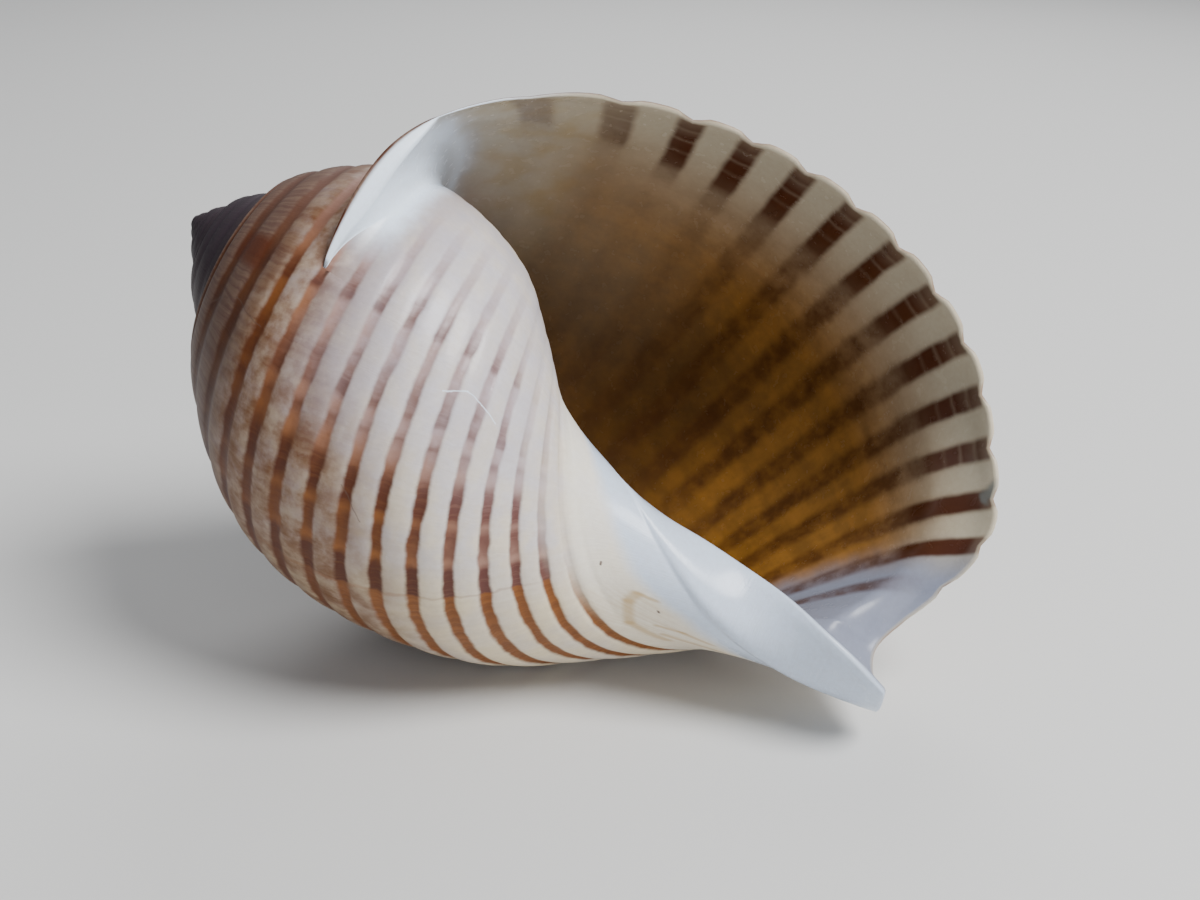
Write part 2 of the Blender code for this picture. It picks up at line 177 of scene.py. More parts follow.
# Thin marks: start degrees and rib, end degrees and rib, width in degrees
LINE_ENDS = ("From_degrees", "From_rib", "To_degrees", "To_rib", "Width")
CRACKS = ((-241.0, 8.2, -234.0, 7.5, 0.25), (-263.5, 13.2, -262.0, 12.0, 0.35),
          (-263.5, 13.2, -258.0, 13.9, 0.4), (-258.0, 13.9, -250.0, 14.4, 0.4))
SCRATCHES = ((-275.5, 6.3, -279.6, 5.6, 0.3), (-279.6, 5.6, -278.8, 5.0, 0.3),
             (-278.8, 5.0, -276.0, 4.4, 0.3))
CRESCENTS = ((-210.0, -2.15, -213.0, -1.6, 2.2), (-213.0, -1.6, -206.0, -0.95, 3.0),
             (-206.0, -0.95, -188.0, -0.1, 3.0), (-188.0, -0.1, -168.0, -0.5, 3.0),
             (-186.0, -1.2, -182.0, -1.9, 2.2), (-182.0, -1.9, -172.0, -2.4, 2.0),
             (-176.0, -0.9, -160.0, -1.9, 2.4), (-160.0, -1.9, -146.0, -2.6, 2.4))
SPECKS = ((-230.5, -0.6, -228.5, -0.5, 0.7), (-201.0, -1.92, -199.5, -1.88, 0.6))
CHIP = (-28.5, 3.03, -23.5, 3.32, 1.5)

# Those on the outside, each with its colour and strength
HAIRLINES = ((CRESCENTS, "crescent", 0.6), (CRACKS, "crack", 0.5), (SCRATCHES, "callus", 0.75),
             (SPECKS, "crack", 0.9))

# Edges of the wall: from and to across the edge, from and to rib, softness, colour and strength
RIMS = (((0.3, 0.95), (14.0, 18.0), 0.8, "callus", 1.0), ((0.3, 0.9), (-3.0, 14.0), 1.0, "lip", 0.4),
        ((0.2, 0.6), (-5.0, 0.0), 0.5, "stripe", 0.6))

# Growth degrees and rib numbers between which the outside changes colour
LEVEL_RIB = 5.0
LEVEL_DEGREES = -216.0
RIBS_PER_DEGREE = 0.035
SLOPE_DEGREES = (-290.0, -205.0)
FRESH_DEGREES = (-236.0, -212.0)
# Heights over which the shoulder's brown comes in, partly its own colour and partly painted shade
TAN_AND_SHADE_HEIGHTS = (4.6, 8.6)
# Ribs over which the painted shade and painted bluish reflection of the spire come in
SPIRE_SHADE_RIBS = (11.6, 13.4)
BASE_RIBS = (0.2, 1.4)
PATCH_DEGREES = (-286.0, -274.0)
PATCH_RIBS = (13.05, 14.15)
NUB_DEGREES = (-640.0, -400.0)
GLAZE_DEGREES = (-350.0, -256.0)
GLAZE_RIBS = (2.0, 10.4)
CALLUS_DEGREES = (-310.0, -290.0)
CALLUS_RIBS = (9.2, 10.15)
COVERED_DEGREES = (-420.0, -350.0)
COLUMELLA_RIBS = (-2.5, -1.3)

# The same for the inside, with degrees counted back from the lip
AMBER_BEHIND = (4.0, 36.0)
# Degrees behind the lip and ribs where painted shade deep in the hollow comes in
RECESS_SHADE_BEHIND = (28.0, 62.0)
RECESS_SHADE_RIBS = (7.6, 14.5)
FRONT_RIBS = (1.0, 2.3)
PALE_RIBS = (9.0, 13.0)
SHOULDER_RIBS = (12.6, 14.2)
CORNER_RIBS = (14.6, 15.4)
BAR_RIBS = (1.5, 14.6)
FAINT_BAR_RIBS = (11.8, 13.6)
LOW_BAR_RIBS = (1.5, 3.5)
TRAIL_BEHIND = (14.0, 78.0)
TRAIL_RIBS = (8.0, 12.0)

# Camera at the photograph's viewing angle
CAMERA_PLACE_MM = (1.659, -185.602, 101.454)
CAMERA_RIGHT = (0.9993, 0.01425, 0.03461)
CAMERA_UP = (-0.03743, 0.38036, 0.92408)
SENSOR_MM = 36.0

# Studio: each light's name, place, size and power, then the even light, the floor and the camera's reach
LIGHTS = (
    ("key", (0.42, -0.24, 0.66), 0.45, 11.0),
    ("fill", (0.25, -0.75, 0.25), 0.6, 2.0),
    ("rim", (0.1, 0.6, 0.5), 0.5, 2.5),
)
LIGHT_AIM = (0.0, 0.0, 0.03)
SKY_COLOUR = (0.9, 0.93, 1.0, 1.0)
SKY_STRENGTH = 0.24
FLOOR_HALF = 3.0
FLOOR_ROUGHNESS = 0.7
CAMERA_REACH = (0.01, 20.0)


def natural_spline(knots, values):
    """Natural cubic spline through a few points, as a function."""
    x = np.array(knots, float)
    y = np.array(values, float)
    n = len(x)
    h = np.diff(x)
    matrix = np.eye(n)
    right = np.zeros(n)
    for i in range(1, n - 1):
        matrix[i, i - 1:i + 2] = (h[i - 1], 2.0 * (h[i - 1] + h[i]), h[i])
        right[i] = 6.0 * ((y[i + 1] - y[i]) / h[i] - (y[i] - y[i - 1]) / h[i - 1])
    bend = np.linalg.solve(matrix, right)

    def value(t):
        t = np.asarray(t, float)
        i = np.clip(np.searchsorted(x, t) - 1, 0, n - 2)
        a = x[i + 1] - t
        b = t - x[i]
        cubic = (bend[i] * a ** 3 + bend[i + 1] * b ** 3) / (6.0 * h[i])
        start = y[i] / h[i] - bend[i] * h[i] / 6.0
        end = y[i + 1] / h[i] - bend[i + 1] * h[i] / 6.0
        return cubic + start * a + end * b

    return value


def ease(t):
    """Smooth step from 0 to 1."""
    t = np.clip(t, 0.0, 1.0)
    return t * t * (3.0 - 2.0 * t)


profile_radius = natural_spline(PROFILE_U, PROFILE_RADIUS)
profile_height = natural_spline(PROFILE_U, PROFILE_HEIGHT)
lip_degrees = natural_spline(LIP_U, LIP_DEGREES)
columella_e1 = natural_spline(COLUMELLA_DEGREES, COLUMELLA_E1)
columella_e2 = natural_spline(COLUMELLA_DEGREES, COLUMELLA_E2)


def growth(theta):
    """Size of the shell at a growth angle, 1 at the outer lip."""
    t = np.maximum(theta, RISE_STARTS_AT)
    early_rate = GROWTH_RATE + 2.0 * GROWTH_RATE_RISE * RISE_STARTS_AT
    return np.exp(GROWTH_RATE * t + GROWTH_RATE_RISE * t * t + early_rate * (theta - t))


def furrow(u):
    """1 in the middle of a furrow, 0 on a rib, fading out on the columella and in the channel."""
    wave = (0.5 + 0.5 * np.cos(TURN * u)) ** FURROW_SHARPNESS
    return wave * ease((u - FIRST_FURROW_U) / FURROW_FADE_U) * ease(LAST_FURROW_U - u)


def spiral_point(theta, u):
    """Whorl surface without ribs and before the suture is joined."""
    s = growth(theta)
    r = profile_radius(u) * s
    return np.stack([r * np.cos(theta), r * np.sin(theta), profile_height(u) * s], -1)


def columella_point(theta, u):
    """Front of the columella: a bulging sheet from the spiral at the seam to its free edge."""
    start = spiral_point(theta, np.full_like(theta, COLUMELLA_SEAM_U))
    degrees = np.degrees(theta)
    end = np.stack([columella_e1(degrees), columella_e2(degrees), start[..., 2]], -1)
    chord = np.linalg.norm(end - start, axis=-1, keepdims=True)
    along = np.stack([np.sin(theta), -np.cos(theta), np.zeros_like(theta)], -1)
    bulge = COLUMELLA_BULGE * ease((degrees - COLUMELLA_DEGREES[0]) / BULGE_GROWS_OVER_DEGREES)[..., None]
    middle = start + bulge * chord * along
    v = ((COLUMELLA_SEAM_U - u) / (COLUMELLA_SEAM_U - COLUMELLA_FREE_U))[..., None]
    point = (1.0 - v) ** 2 * start + 2.0 * v * (1.0 - v) * middle + v * v * end
    tip = ease((degrees - TIP_FROM_DEGREES) / (COLUMELLA_DEGREES[-1] - TIP_FROM_DEGREES))[..., None]
    point[..., 2:] += TIP_ROUNDING * tip * 4.0 * v * (1.0 - v)
    return point


def base_point(theta, u):
    """Whorl surface without ribs, bent near the suture so that it ends on the whorl before."""
    theta, u = np.broadcast_arrays(np.asarray(theta, float), np.asarray(u, float))
    point = spiral_point(theta, np.maximum(u, COLUMELLA_SEAM_U))
    landing = spiral_point(theta - TURN, np.full_like(u, JOIN_OUTER_U))
    gap = landing - spiral_point(theta, np.full_like(u, SUTURE_U))
    share = ease((u - JOIN_BLEND_FROM_U) / (SUTURE_U - JOIN_BLEND_FROM_U))
    point = point + gap * share[..., None]
    return np.where((u < COLUMELLA_SEAM_U)[..., None], columella_point(theta, u), point)


def outward(theta, u):
    """Unit normal pointing out of the whorl."""
    along = base_point(theta + NORMAL_STEP, u) - base_point(theta - NORMAL_STEP, u)
    across = base_point(theta, u + NORMAL_STEP) - base_point(theta, u - NORMAL_STEP)
    n = -np.cross(along, across)
    return n / np.linalg.norm(n, axis=-1, keepdims=True)


def wall_thickness(theta, u):
    """Thickness of the wall, thicker on the base and the columella."""
    size = growth(theta)
    plain = WALL * (WALL_SMALL_SHARE + (1.0 - WALL_SMALL_SHARE) * size)
    plain = plain * (1.0 + ANTERIOR_GAIN * ease((THICK_FROM_U - u) / THICK_FADE_U))
    return plain + CALLUS * ease((CALLUS_FROM_U - u) / CALLUS_FADE_U) * size


def plain_lip_angle(u):
    """Growth angle of the outer lip without its scallops."""
    return np.radians(lip_degrees(np.maximum(u, COLUMELLA_SEAM_U)))


class ShellForm:
    """The shell's surfaces with the sizes that the panel sets."""

    def __init__(self, sizes):
        self.furrow_depth = sizes.furrow_depth / MM
        self.lip_thickness = sizes.lip_thickness / MM
        self.inner_relief = sizes.inner_relief / MM
        self.scallop = math.radians(LIP_SCALLOP_DEGREES)

    def lip_angle(self, u):
        """Growth angle of the outer lip at rib number u."""
        return plain_lip_angle(u) - self.scallop * furrow(u) * (1.0 - self.thin_share(u))

    def thin_share(self, u):
        """0 along most of the outer lip, 1 where it runs out to a thin smooth edge at the suture."""
        return ease((u - SUTURE_LIP_FROM_U) / SUTURE_LIP_FADE_U)

    def edge_thickness(self, u):
        """Thickness of the outer lip."""
        return self.lip_thickness * (1.0 - (1.0 - SUTURE_LIP_SHARE) * self.thin_share(u))

    def near_lip(self, theta, u):
        """1 at the lip, falling off with the distance back from it."""
        radius = profile_radius(np.maximum(u, COLUMELLA_SEAM_U)) * growth(theta)
        distance = (self.lip_angle(u) - theta) * radius
        return np.exp(-np.maximum(distance, 0.0) / RELIEF_FADE_MM)

    def outer(self, theta, u):
        """Outside of the wall, with its furrows."""
        theta, u = np.broadcast_arrays(np.asarray(theta, float), np.asarray(u, float))
        filled = GLAZE_FILL * ease((GLAZE_FROM - theta) / GLAZE_FADE) * ease(GLAZE_TOP_U - u)
        smooth = self.thin_share(u) * self.near_lip(theta, u)
        lift = -self.furrow_depth * furrow(u) * growth(theta) * (1.0 - filled) * (1.0 - smooth)
        return base_point(theta, u) + outward(theta, u) * lift[..., None]

    def inner(self, theta, u):
        """Inside of the wall; behind the columella it runs straight from the base to the free edge."""
        theta, u = np.broadcast_arrays(np.asarray(theta, float), np.asarray(u, float))
        wall_u = np.maximum(u, FILL_FROM_U)
        wall = base_point(theta, wall_u) - outward(theta, wall_u) * wall_thickness(theta, wall_u)[..., None]
        edge_theta = np.clip(theta, math.radians(COLUMELLA_DEGREES[0]), math.radians(COLUMELLA_DEGREES[-1]))
        edge_u = np.full_like(u, COLUMELLA_FREE_U)
        edge = base_point(edge_theta, edge_u)
        edge = edge - outward(edge_theta, edge_u) * (EDGE_THICKNESS * growth(edge_theta))[..., None]
        turned = theta - edge_theta
        across = np.stack([edge[..., 0] * np.cos(turned) - edge[..., 1] * np.sin(turned),
                           edge[..., 0] * np.sin(turned) + edge[..., 1] * np.cos(turned), edge[..., 2]], -1)
        edge = across * (growth(theta) / growth(edge_theta))[..., None]
        share = np.clip((FILL_FROM_U - u) / (FILL_FROM_U - COLUMELLA_FREE_U), 0.0, 1.0)[..., None]
        filled = wall + (edge - wall) * share
        thin = base_point(theta, u) - outward(theta, u) * self.edge_thickness(u)[..., None]
        thinned = ease((theta - self.lip_angle(u) + LIP_THINNING) / LIP_THINNING)[..., None]
        point = filled + (thin - filled) * thinned
        relief = self.inner_relief * furrow(u) * (1.0 - self.thin_share(u)) * self.near_lip(theta, u)
        return point - outward(theta, u) * relief[..., None]

    def foot(self, theta):
        """Rib number where the wall's inner side lands on the whorl before; near the lip the wall narrows."""
        return JOIN_INNER_U + FOOT_NARROWING_U * ease((theta - FOOT_NARROWS_FROM) / FOOT_NARROWS_OVER)

    def fillet(self, theta, u):
        """Rounded inner corner from the wall to the whorl before it, under the suture."""
        theta, u = np.broadcast_arrays(np.asarray(theta, float), np.asarray(u, float))
        v = ((u - FILLET_FROM_U) / (SUTURE_U - FILLET_FROM_U))[..., None]
        start = self.inner(theta, np.full_like(u, FILLET_FROM_U))
        corner = 0.5 * (self.inner(theta, np.full_like(u, 0.5 * (FILLET_FROM_U + SUTURE_U)))
                        + self.outer(theta - TURN, np.full_like(u, FILLET_CORNER_U)))
        end = self.outer(theta - TURN, self.foot(theta))
        return (1.0 - v) ** 2 * start + 2.0 * v * (1.0 - v) * corner + v * v * end

    def column_angle(self, tau, u):
        """Growth angle of mesh column tau in row u: plain far from the lip, following the lip near it."""
        radius = np.maximum(profile_radius(np.maximum(u, COLUMELLA_SEAM_U)) * growth(self.lip_angle(u)), 6.0)
        pulled = self.lip_angle(u) - 0.4 * self.edge_thickness(u) / radius
        return tau + pulled * np.clip((tau + LIP_SHIFT_RANGE) / LIP_SHIFT_RANGE, 0.0, 1.0)


class Skin:
    """Collects the points and triangles of the closed surface, with their growth angle, rib and side."""

    def __init__(self, form):
        self.form = form
        self.points = []
        self.marks = []
        self.faces = []
        self.face_marks = []

    def add(self, points, theta, u, side):
        first = len(self.points)
        points = np.asarray(points, float).reshape(-1, 3)
        marks = np.stack(np.broadcast_arrays(np.asarray(theta, float).ravel(), u, side, points[:, 0])[:3], -1)
        self.points.extend(points)
        self.marks.extend(marks)
        return list(range(first, len(self.points)))

    def face(self, a, b, c, marks=None):
        if a != b and b != c and a != c:
            self.faces.append((a, b, c))
            self.face_marks.append(marks)

    def quads(self, left, right, right_marks=None):
        """Strip between two rows of as many points; right_marks replaces the right row's marks."""
        for i in range(len(left) - 1):
            first = second = None
            if right_marks is not None:
                here = right_marks[i]
                there = right_marks[i + 1]
                first = (self.marks[left[i]], here, there)
                second = (self.marks[left[i]], there, self.marks[left[i + 1]])
            self.face(left[i], right[i], right[i + 1], first)
            self.face(left[i], right[i + 1], left[i + 1], second)

    def shares(self, row):
        """Length along a row at each of its points, as a share of the whole."""
        points = np.array([self.points[i] for i in row])
        lengths = np.concatenate([[0.0], np.cumsum(np.linalg.norm(np.diff(points, axis=0), axis=1))])
        return lengths / lengths[-1]

    def zip_rows(self, left, right):
        """Strip between two rows with different numbers of points, matched by their share of the length."""
        p = self.shares(left)
        q = self.shares(right)
        i = 0
        j = 0
        while i < len(p) - 1 or j < len(q) - 1:
            if j == len(q) - 1 or (i < len(p) - 1 and p[i + 1] < q[j + 1]):
                self.face(left[i], right[j], left[i + 1])
                i += 1
            else:
                self.face(left[i], right[j], right[j + 1])
                j += 1


def steps(first, last, step):
    """Evenly spaced numbers from first up to but not including last."""
    count = max(1, int(round((last - first) / step)))
    return [first + i * (last - first) / count for i in range(count)]


def build_skin(form):
    """The whole surface, in the shell's own frame."""
    skin = Skin(form)
    columella = steps(COLUMELLA_FREE_U, COLUMELLA_SEAM_U, COLUMELLA_STEP)
    whorl = steps(COLUMELLA_SEAM_U, SUTURE_U, ROW_STEP)
    below = [u for u in whorl if u < JOIN_INNER_U]
    middle = [u for u in whorl if JOIN_INNER_U <= u < JOIN_OUTER_U]
    above = [u for u in whorl if u > JOIN_OUTER_U]
    below_deep = below[::8] + [below[-1]] * (below[-1] not in below[::8])

    deep_start = LUMEN_END - TURN
    spire = np.array(steps(APEX_START, deep_start, SPIRE_STEP))
    deep = np.array(steps(deep_start, FINE_FROM, DEEP_STEP))
    fine = np.array(steps(FINE_FROM, 0.0, FINE_STEP) + [0.0])
    main = np.concatenate([deep, fine])
    nd = len(deep)
    ns = len(spire)

    def outer_row(tau, u):
        theta = form.column_angle(tau, u)
        return skin.add(form.outer(theta, u), theta, u, 0.0)

    # Outside above the suture line, on every whorl, closing the channel against the whorl before
    rows = {u: outer_row(main, u) for u in above}
    suture_theta = form.column_angle(np.concatenate([spire, main]), SUTURE_U)
    before = suture_theta - TURN
    join_outer = skin.add(form.outer(before, JOIN_OUTER_U), before, JOIN_OUTER_U, 0.0)
    channel_marks = [(t, SUTURE_U, 0.0) for t in suture_theta]
    spire_rows = {u: skin.add(form.outer(spire, u), spire, u, 0.0) for u in above}
    for a, b in zip(above[:-1], above[1:]):
        skin.quads(rows[a], rows[b])
        skin.quads(spire_rows[a], spire_rows[b])
    skin.quads(rows[above[-1]], join_outer[ns:], channel_marks[ns:])
    skin.quads(spire_rows[above[-1]], join_outer[:ns], channel_marks[:ns])
    for a, b in zip(above[:-1], above[1:]):
        skin.quads([spire_rows[a][-1], rows[a][0]], [spire_rows[b][-1], rows[b][0]])
    skin.quads([spire_rows[above[-1]][-1], rows[above[-1]][0]], join_outer[ns - 1:ns + 1],
               channel_marks[ns - 1:ns + 1])

    # Outside below the suture line, coarse where later whorls cover it
    for u in below + middle:
        rows[u] = outer_row(fine, u)
    deep_rows = {u: skin.add(form.outer(deep, u), deep, u, 0.0) for u in below_deep}
    for a, b in zip(below[:-1], below[1:]):
        skin.quads(rows[a], rows[b])
    for a, b in zip(below_deep[:-1], below_deep[1:]):
        skin.quads(deep_rows[a], deep_rows[b])
    skin.zip_rows([deep_rows[u][-1] for u in below_deep], [rows[u][0] for u in below])
    lower_edge = deep_rows[below_deep[-1]] + rows[below[-1]]
    seam = deep_rows[COLUMELLA_SEAM_U] + rows[COLUMELLA_SEAM_U]

    # Inside from the blind end of the hollow to the lip, with its rounded corner behind the suture
    lumen = main[main > LUMEN_END - 1e-6]
    inner = {}
    for u in whorl:
        theta = form.column_angle(lumen, u)
        surface = form.inner if u <= FILLET_FROM_U else form.fillet
        inner[u] = skin.add(surface(theta, u), theta, u, 1.0)
    theta = form.column_angle(lumen, SUTURE_U)
    join_inner = skin.add(form.fillet(theta, SUTURE_U), theta - TURN, form.foot(theta), 0.0)
    for a, b in zip(whorl[:-1], whorl[1:]):
        skin.quads(inner[b], inner[a])
    fillet_marks = [(t, SUTURE_U, 1.0) for t in theta]
    last = inner[whorl[-1]]
    for i in range(len(join_inner) - 1):
        skin.face(join_inner[i], last[i], last[i + 1],
                  (fillet_marks[i], skin.marks[last[i]], skin.marks[last[i + 1]]))
        skin.face(join_inner[i], last[i + 1], join_inner[i + 1],
                  (fillet_marks[i], skin.marks[last[i + 1]], fillet_marks[i + 1]))

    # Front and back of the columella, from the end of the solid pillar to the tip
    free = fine[fine > PILLAR_END - 1e-6]
    free_from = len(main) - len(free)
    free_in_lumen = len(lumen) - len(free)
    free_theta = form.column_angle(free, COLUMELLA_SEAM_U)
    for u in columella:
        inner[u] = skin.add(form.inner(free_theta, u), free_theta, u, 1.0)
    front = {u: skin.add(form.outer(free_theta, u), free_theta, u, 0.0) for u in columella}
    order = columella + [COLUMELLA_SEAM_U]
    front[COLUMELLA_SEAM_U] = seam[free_from:]
    back = dict(inner)
    back[COLUMELLA_SEAM_U] = inner[COLUMELLA_SEAM_U][free_in_lumen:]
    for a, b in zip(order[:-1], order[1:]):
        skin.quads(front[a], front[b])
        skin.quads(back[b], back[a])
    free_edge = np.array([skin.points[i] for i in front[columella[0]]])
    beside = np.array([skin.points[i] for i in front[columella[1]]])
    crest = round_over(skin, back[COLUMELLA_FREE_U], front[COLUMELLA_FREE_U], free_edge - beside,
                       COLUMELLA_FREE_U)

    # Rounded lip edge from the columella tip to the suture
    all_rows = columella + whorl
    lip_out = [front[u][-1] for u in columella] + [rows[u][-1] for u in whorl] + [join_outer[-1]]
    lip_in = [inner[u][-1] for u in all_rows] + [join_inner[-1]]
    lip_us = np.array(all_rows + [SUTURE_U])
    theta = form.lip_angle(lip_us)
    ahead = base_point(theta, lip_us) - base_point(theta - NORMAL_STEP, lip_us)
    ahead = ahead / np.linalg.norm(ahead, axis=-1, keepdims=True)
    edge = round_over(skin, lip_in, lip_out, list(ahead), lip_us)
    corner = [back[COLUMELLA_FREE_U][-1]] + [row[-1] for row in crest] + [front[COLUMELLA_FREE_U][-1]]
    rounding = [lip_in[0]] + [row[0] for row in edge] + [lip_out[0]]
    skin.zip_rows(corner, rounding)

    # The strip of each whorl to either side of its joint with the next whorl
    join_from = int(np.searchsorted(before, APEX_START - 1e-9))
    last_theta = float(before[-1])
    split = int(np.searchsorted(form.column_angle(fine, JOIN_OUTER_U), last_theta)) - 1
    upper_edge = spire_rows[above[0]] + rows[above[0]]
    skin.zip_rows(join_outer[join_from:], upper_edge[:ns + nd + split + 1])
    skin.zip_rows(lower_edge[:nd + split + 1], join_inner)
    joint_end = [join_outer[-1]] + [row[-1] for row in reversed(edge)] + [join_inner[-1]]
    hub = [rows[middle[-1]][split + 1], rows[above[0]][nd + split + 1], rows[above[0]][nd + split]]
    hub += [joint_end[0], joint_end[-1], rows[below[-1]][split], rows[below[-1]][split + 1]]
    hub += [rows[u][split + 1] for u in middle[:-1]]
    for a, b in zip(hub[1:-1], hub[2:]):
        skin.face(hub[0], a, b)
    for a, b in zip(joint_end[1:-1], joint_end[2:]):
        skin.face(joint_end[0], a, b)
    beyond = [rows[u][split + 1:] for u in [below[-1]] + middle] + [rows[above[0]][nd + split + 1:]]
    for a, b in zip(beyond[:-1], beyond[1:]):
        skin.quads(a, b)

    # Solid pillar: its wall in the hollow, a ramp from the spiral to the axis, and the step where it ends
    pillar_low = int(np.searchsorted(main, PILLAR_END - TURN - 1e-6))
    skin.zip_rows(inner[COLUMELLA_SEAM_U][:free_in_lumen + 1], seam[:pillar_low + 1])
    ramp = [(0.0, 0.0, skin.points[i][2] + PILLAR_CREST) for i in seam[pillar_low:free_from + 1]]
    axis = skin.add(ramp, main[pillar_low:free_from + 1], COLUMELLA_FREE_U, 0.0)
    skin.quads(axis, seam[pillar_low:free_from + 1])
    fan = [front[u][0] for u in columella] + [seam[free_from]]
    for a, b in zip(fan[:-1], fan[1:]):
        skin.face(axis[-1], a, b)
    step_arc = [back[u][0] for u in reversed(order)] + [row[0] for row in crest]
    step_arc += [front[COLUMELLA_FREE_U][0], axis[-1]]
    skin.zip_rows(step_arc, [seam[pillar_low]] + axis)

    # Blind end of the hollow, and the apex
    outer_arc = [join_inner[0]] + [inner[u][0] for u in reversed(whorl)]
    skin.zip_rows(outer_arc, [deep_rows[u][0] for u in reversed(below_deep)])
    loop = join_outer[:join_from + 1] + [spire_rows[u][0] for u in above]
    middle_point = np.mean([skin.points[i] for i in loop], axis=0) * APEX_TIP_SHARE
    tip = skin.add([middle_point], np.array([APEX_START]), above[0], 0.0)[0]
    for a, b in zip(loop, loop[1:] + loop[:1]):
        skin.face(tip, a, b)
    return skin


def round_over(skin, inside, outside, ahead, u):
    """Rounds the edge between an inner and an outer row, and returns the rows added between them."""
    p = np.array([skin.points[i] for i in inside])
    q = np.array([skin.points[i] for i in outside])
    ahead = np.array(ahead)
    centre = 0.5 * (p + q)
    half = 0.5 * (q - p)
    across = half / np.maximum(np.linalg.norm(half, axis=1, keepdims=True), 1e-9)
    ahead = ahead - across * np.sum(ahead * across, axis=1, keepdims=True)
    ahead = ahead / np.maximum(np.linalg.norm(ahead, axis=1, keepdims=True), 1e-9)
    thickness = skin.form.edge_thickness(np.broadcast_to(np.asarray(u, float), len(q)))[:, None]
    reach = np.minimum(np.linalg.norm(half, axis=1, keepdims=True), 0.5 * thickness)
    theta = np.array([skin.marks[i][0] for i in outside])
    made = []
    for k in range(1, LIP_ARC_STEPS):
        angle = math.pi * k / LIP_ARC_STEPS
        points = centre - half * math.cos(angle) + ahead * reach * math.sin(angle)
        made.append(skin.add(points, theta, u, 1.0 - k / LIP_ARC_STEPS))
    strips = [inside] + made + [outside]
    for a, b in zip(strips[:-1], strips[1:]):
        skin.quads(a, b)
    return made


def pose_matrix():
    """Rows of the part's axes in the shell frame, as a 3 by 3 matrix."""
    e3 = np.array([math.cos(AXIS_DIP) * math.cos(AXIS_AZIMUTH), math.cos(AXIS_DIP) * math.sin(AXIS_AZIMUTH),
                   -math.sin(AXIS_DIP)])
    up = np.array([0.0, 0.0, 1.0])
    up = up - e3 * (up @ e3)
    up = up / np.linalg.norm(up)
    side = np.cross(e3, up)
    e1 = math.cos(LIP_SPIN) * up + math.sin(LIP_SPIN) * side
    return np.stack([e1, np.cross(e3, e1), e3], 1)


def make_shell_mesh(form):
    """The shell's surface as a mesh in the part's frame.

    Each corner carries its growth in degrees, its rib number, its side (0 outside, 1 inside) and how many
    degrees it lies behind the lip.
    """
    skin = build_skin(form)
    points = (np.array(skin.points) @ pose_matrix().T - np.array(ORIGIN_FROM_APEX)) * MM
    points = np.clip(points, np.array(CAD_LOW), np.array(CAD_HIGH))
    mesh = bpy.data.meshes.new("shell_surface")
    mesh.from_pydata([tuple(p) for p in points], [], skin.faces)
    marks = np.array(skin.marks)
    corner = marks[np.array(skin.faces)]
    for i, own in enumerate(skin.face_marks):
        if own is not None:
            corner[i] = own
    corner = corner.reshape(-1, 3)
    behind = np.degrees(plain_lip_angle(corner[:, 1]) - corner[:, 0])
    names = ("growth", "rib", "side", "behind_lip")
    for name, values in zip(names, (np.degrees(corner[:, 0]), corner[:, 1], corner[:, 2], behind)):
        layer = mesh.attributes.new(name, "FLOAT", "CORNER")
        layer.data.foreach_set("value", np.ascontiguousarray(values, dtype=np.float32))
    work = bmesh.new()
    work.from_mesh(mesh)
    bmesh.ops.delete(work, geom=[v for v in work.verts if not v.link_faces], context="VERTS")
    bmesh.ops.recalc_face_normals(work, faces=work.faces)
    work.to_mesh(mesh)
    work.free()
    mesh.polygons.foreach_set("use_smooth", [True] * len(mesh.polygons))
    mesh.update()
    return mesh


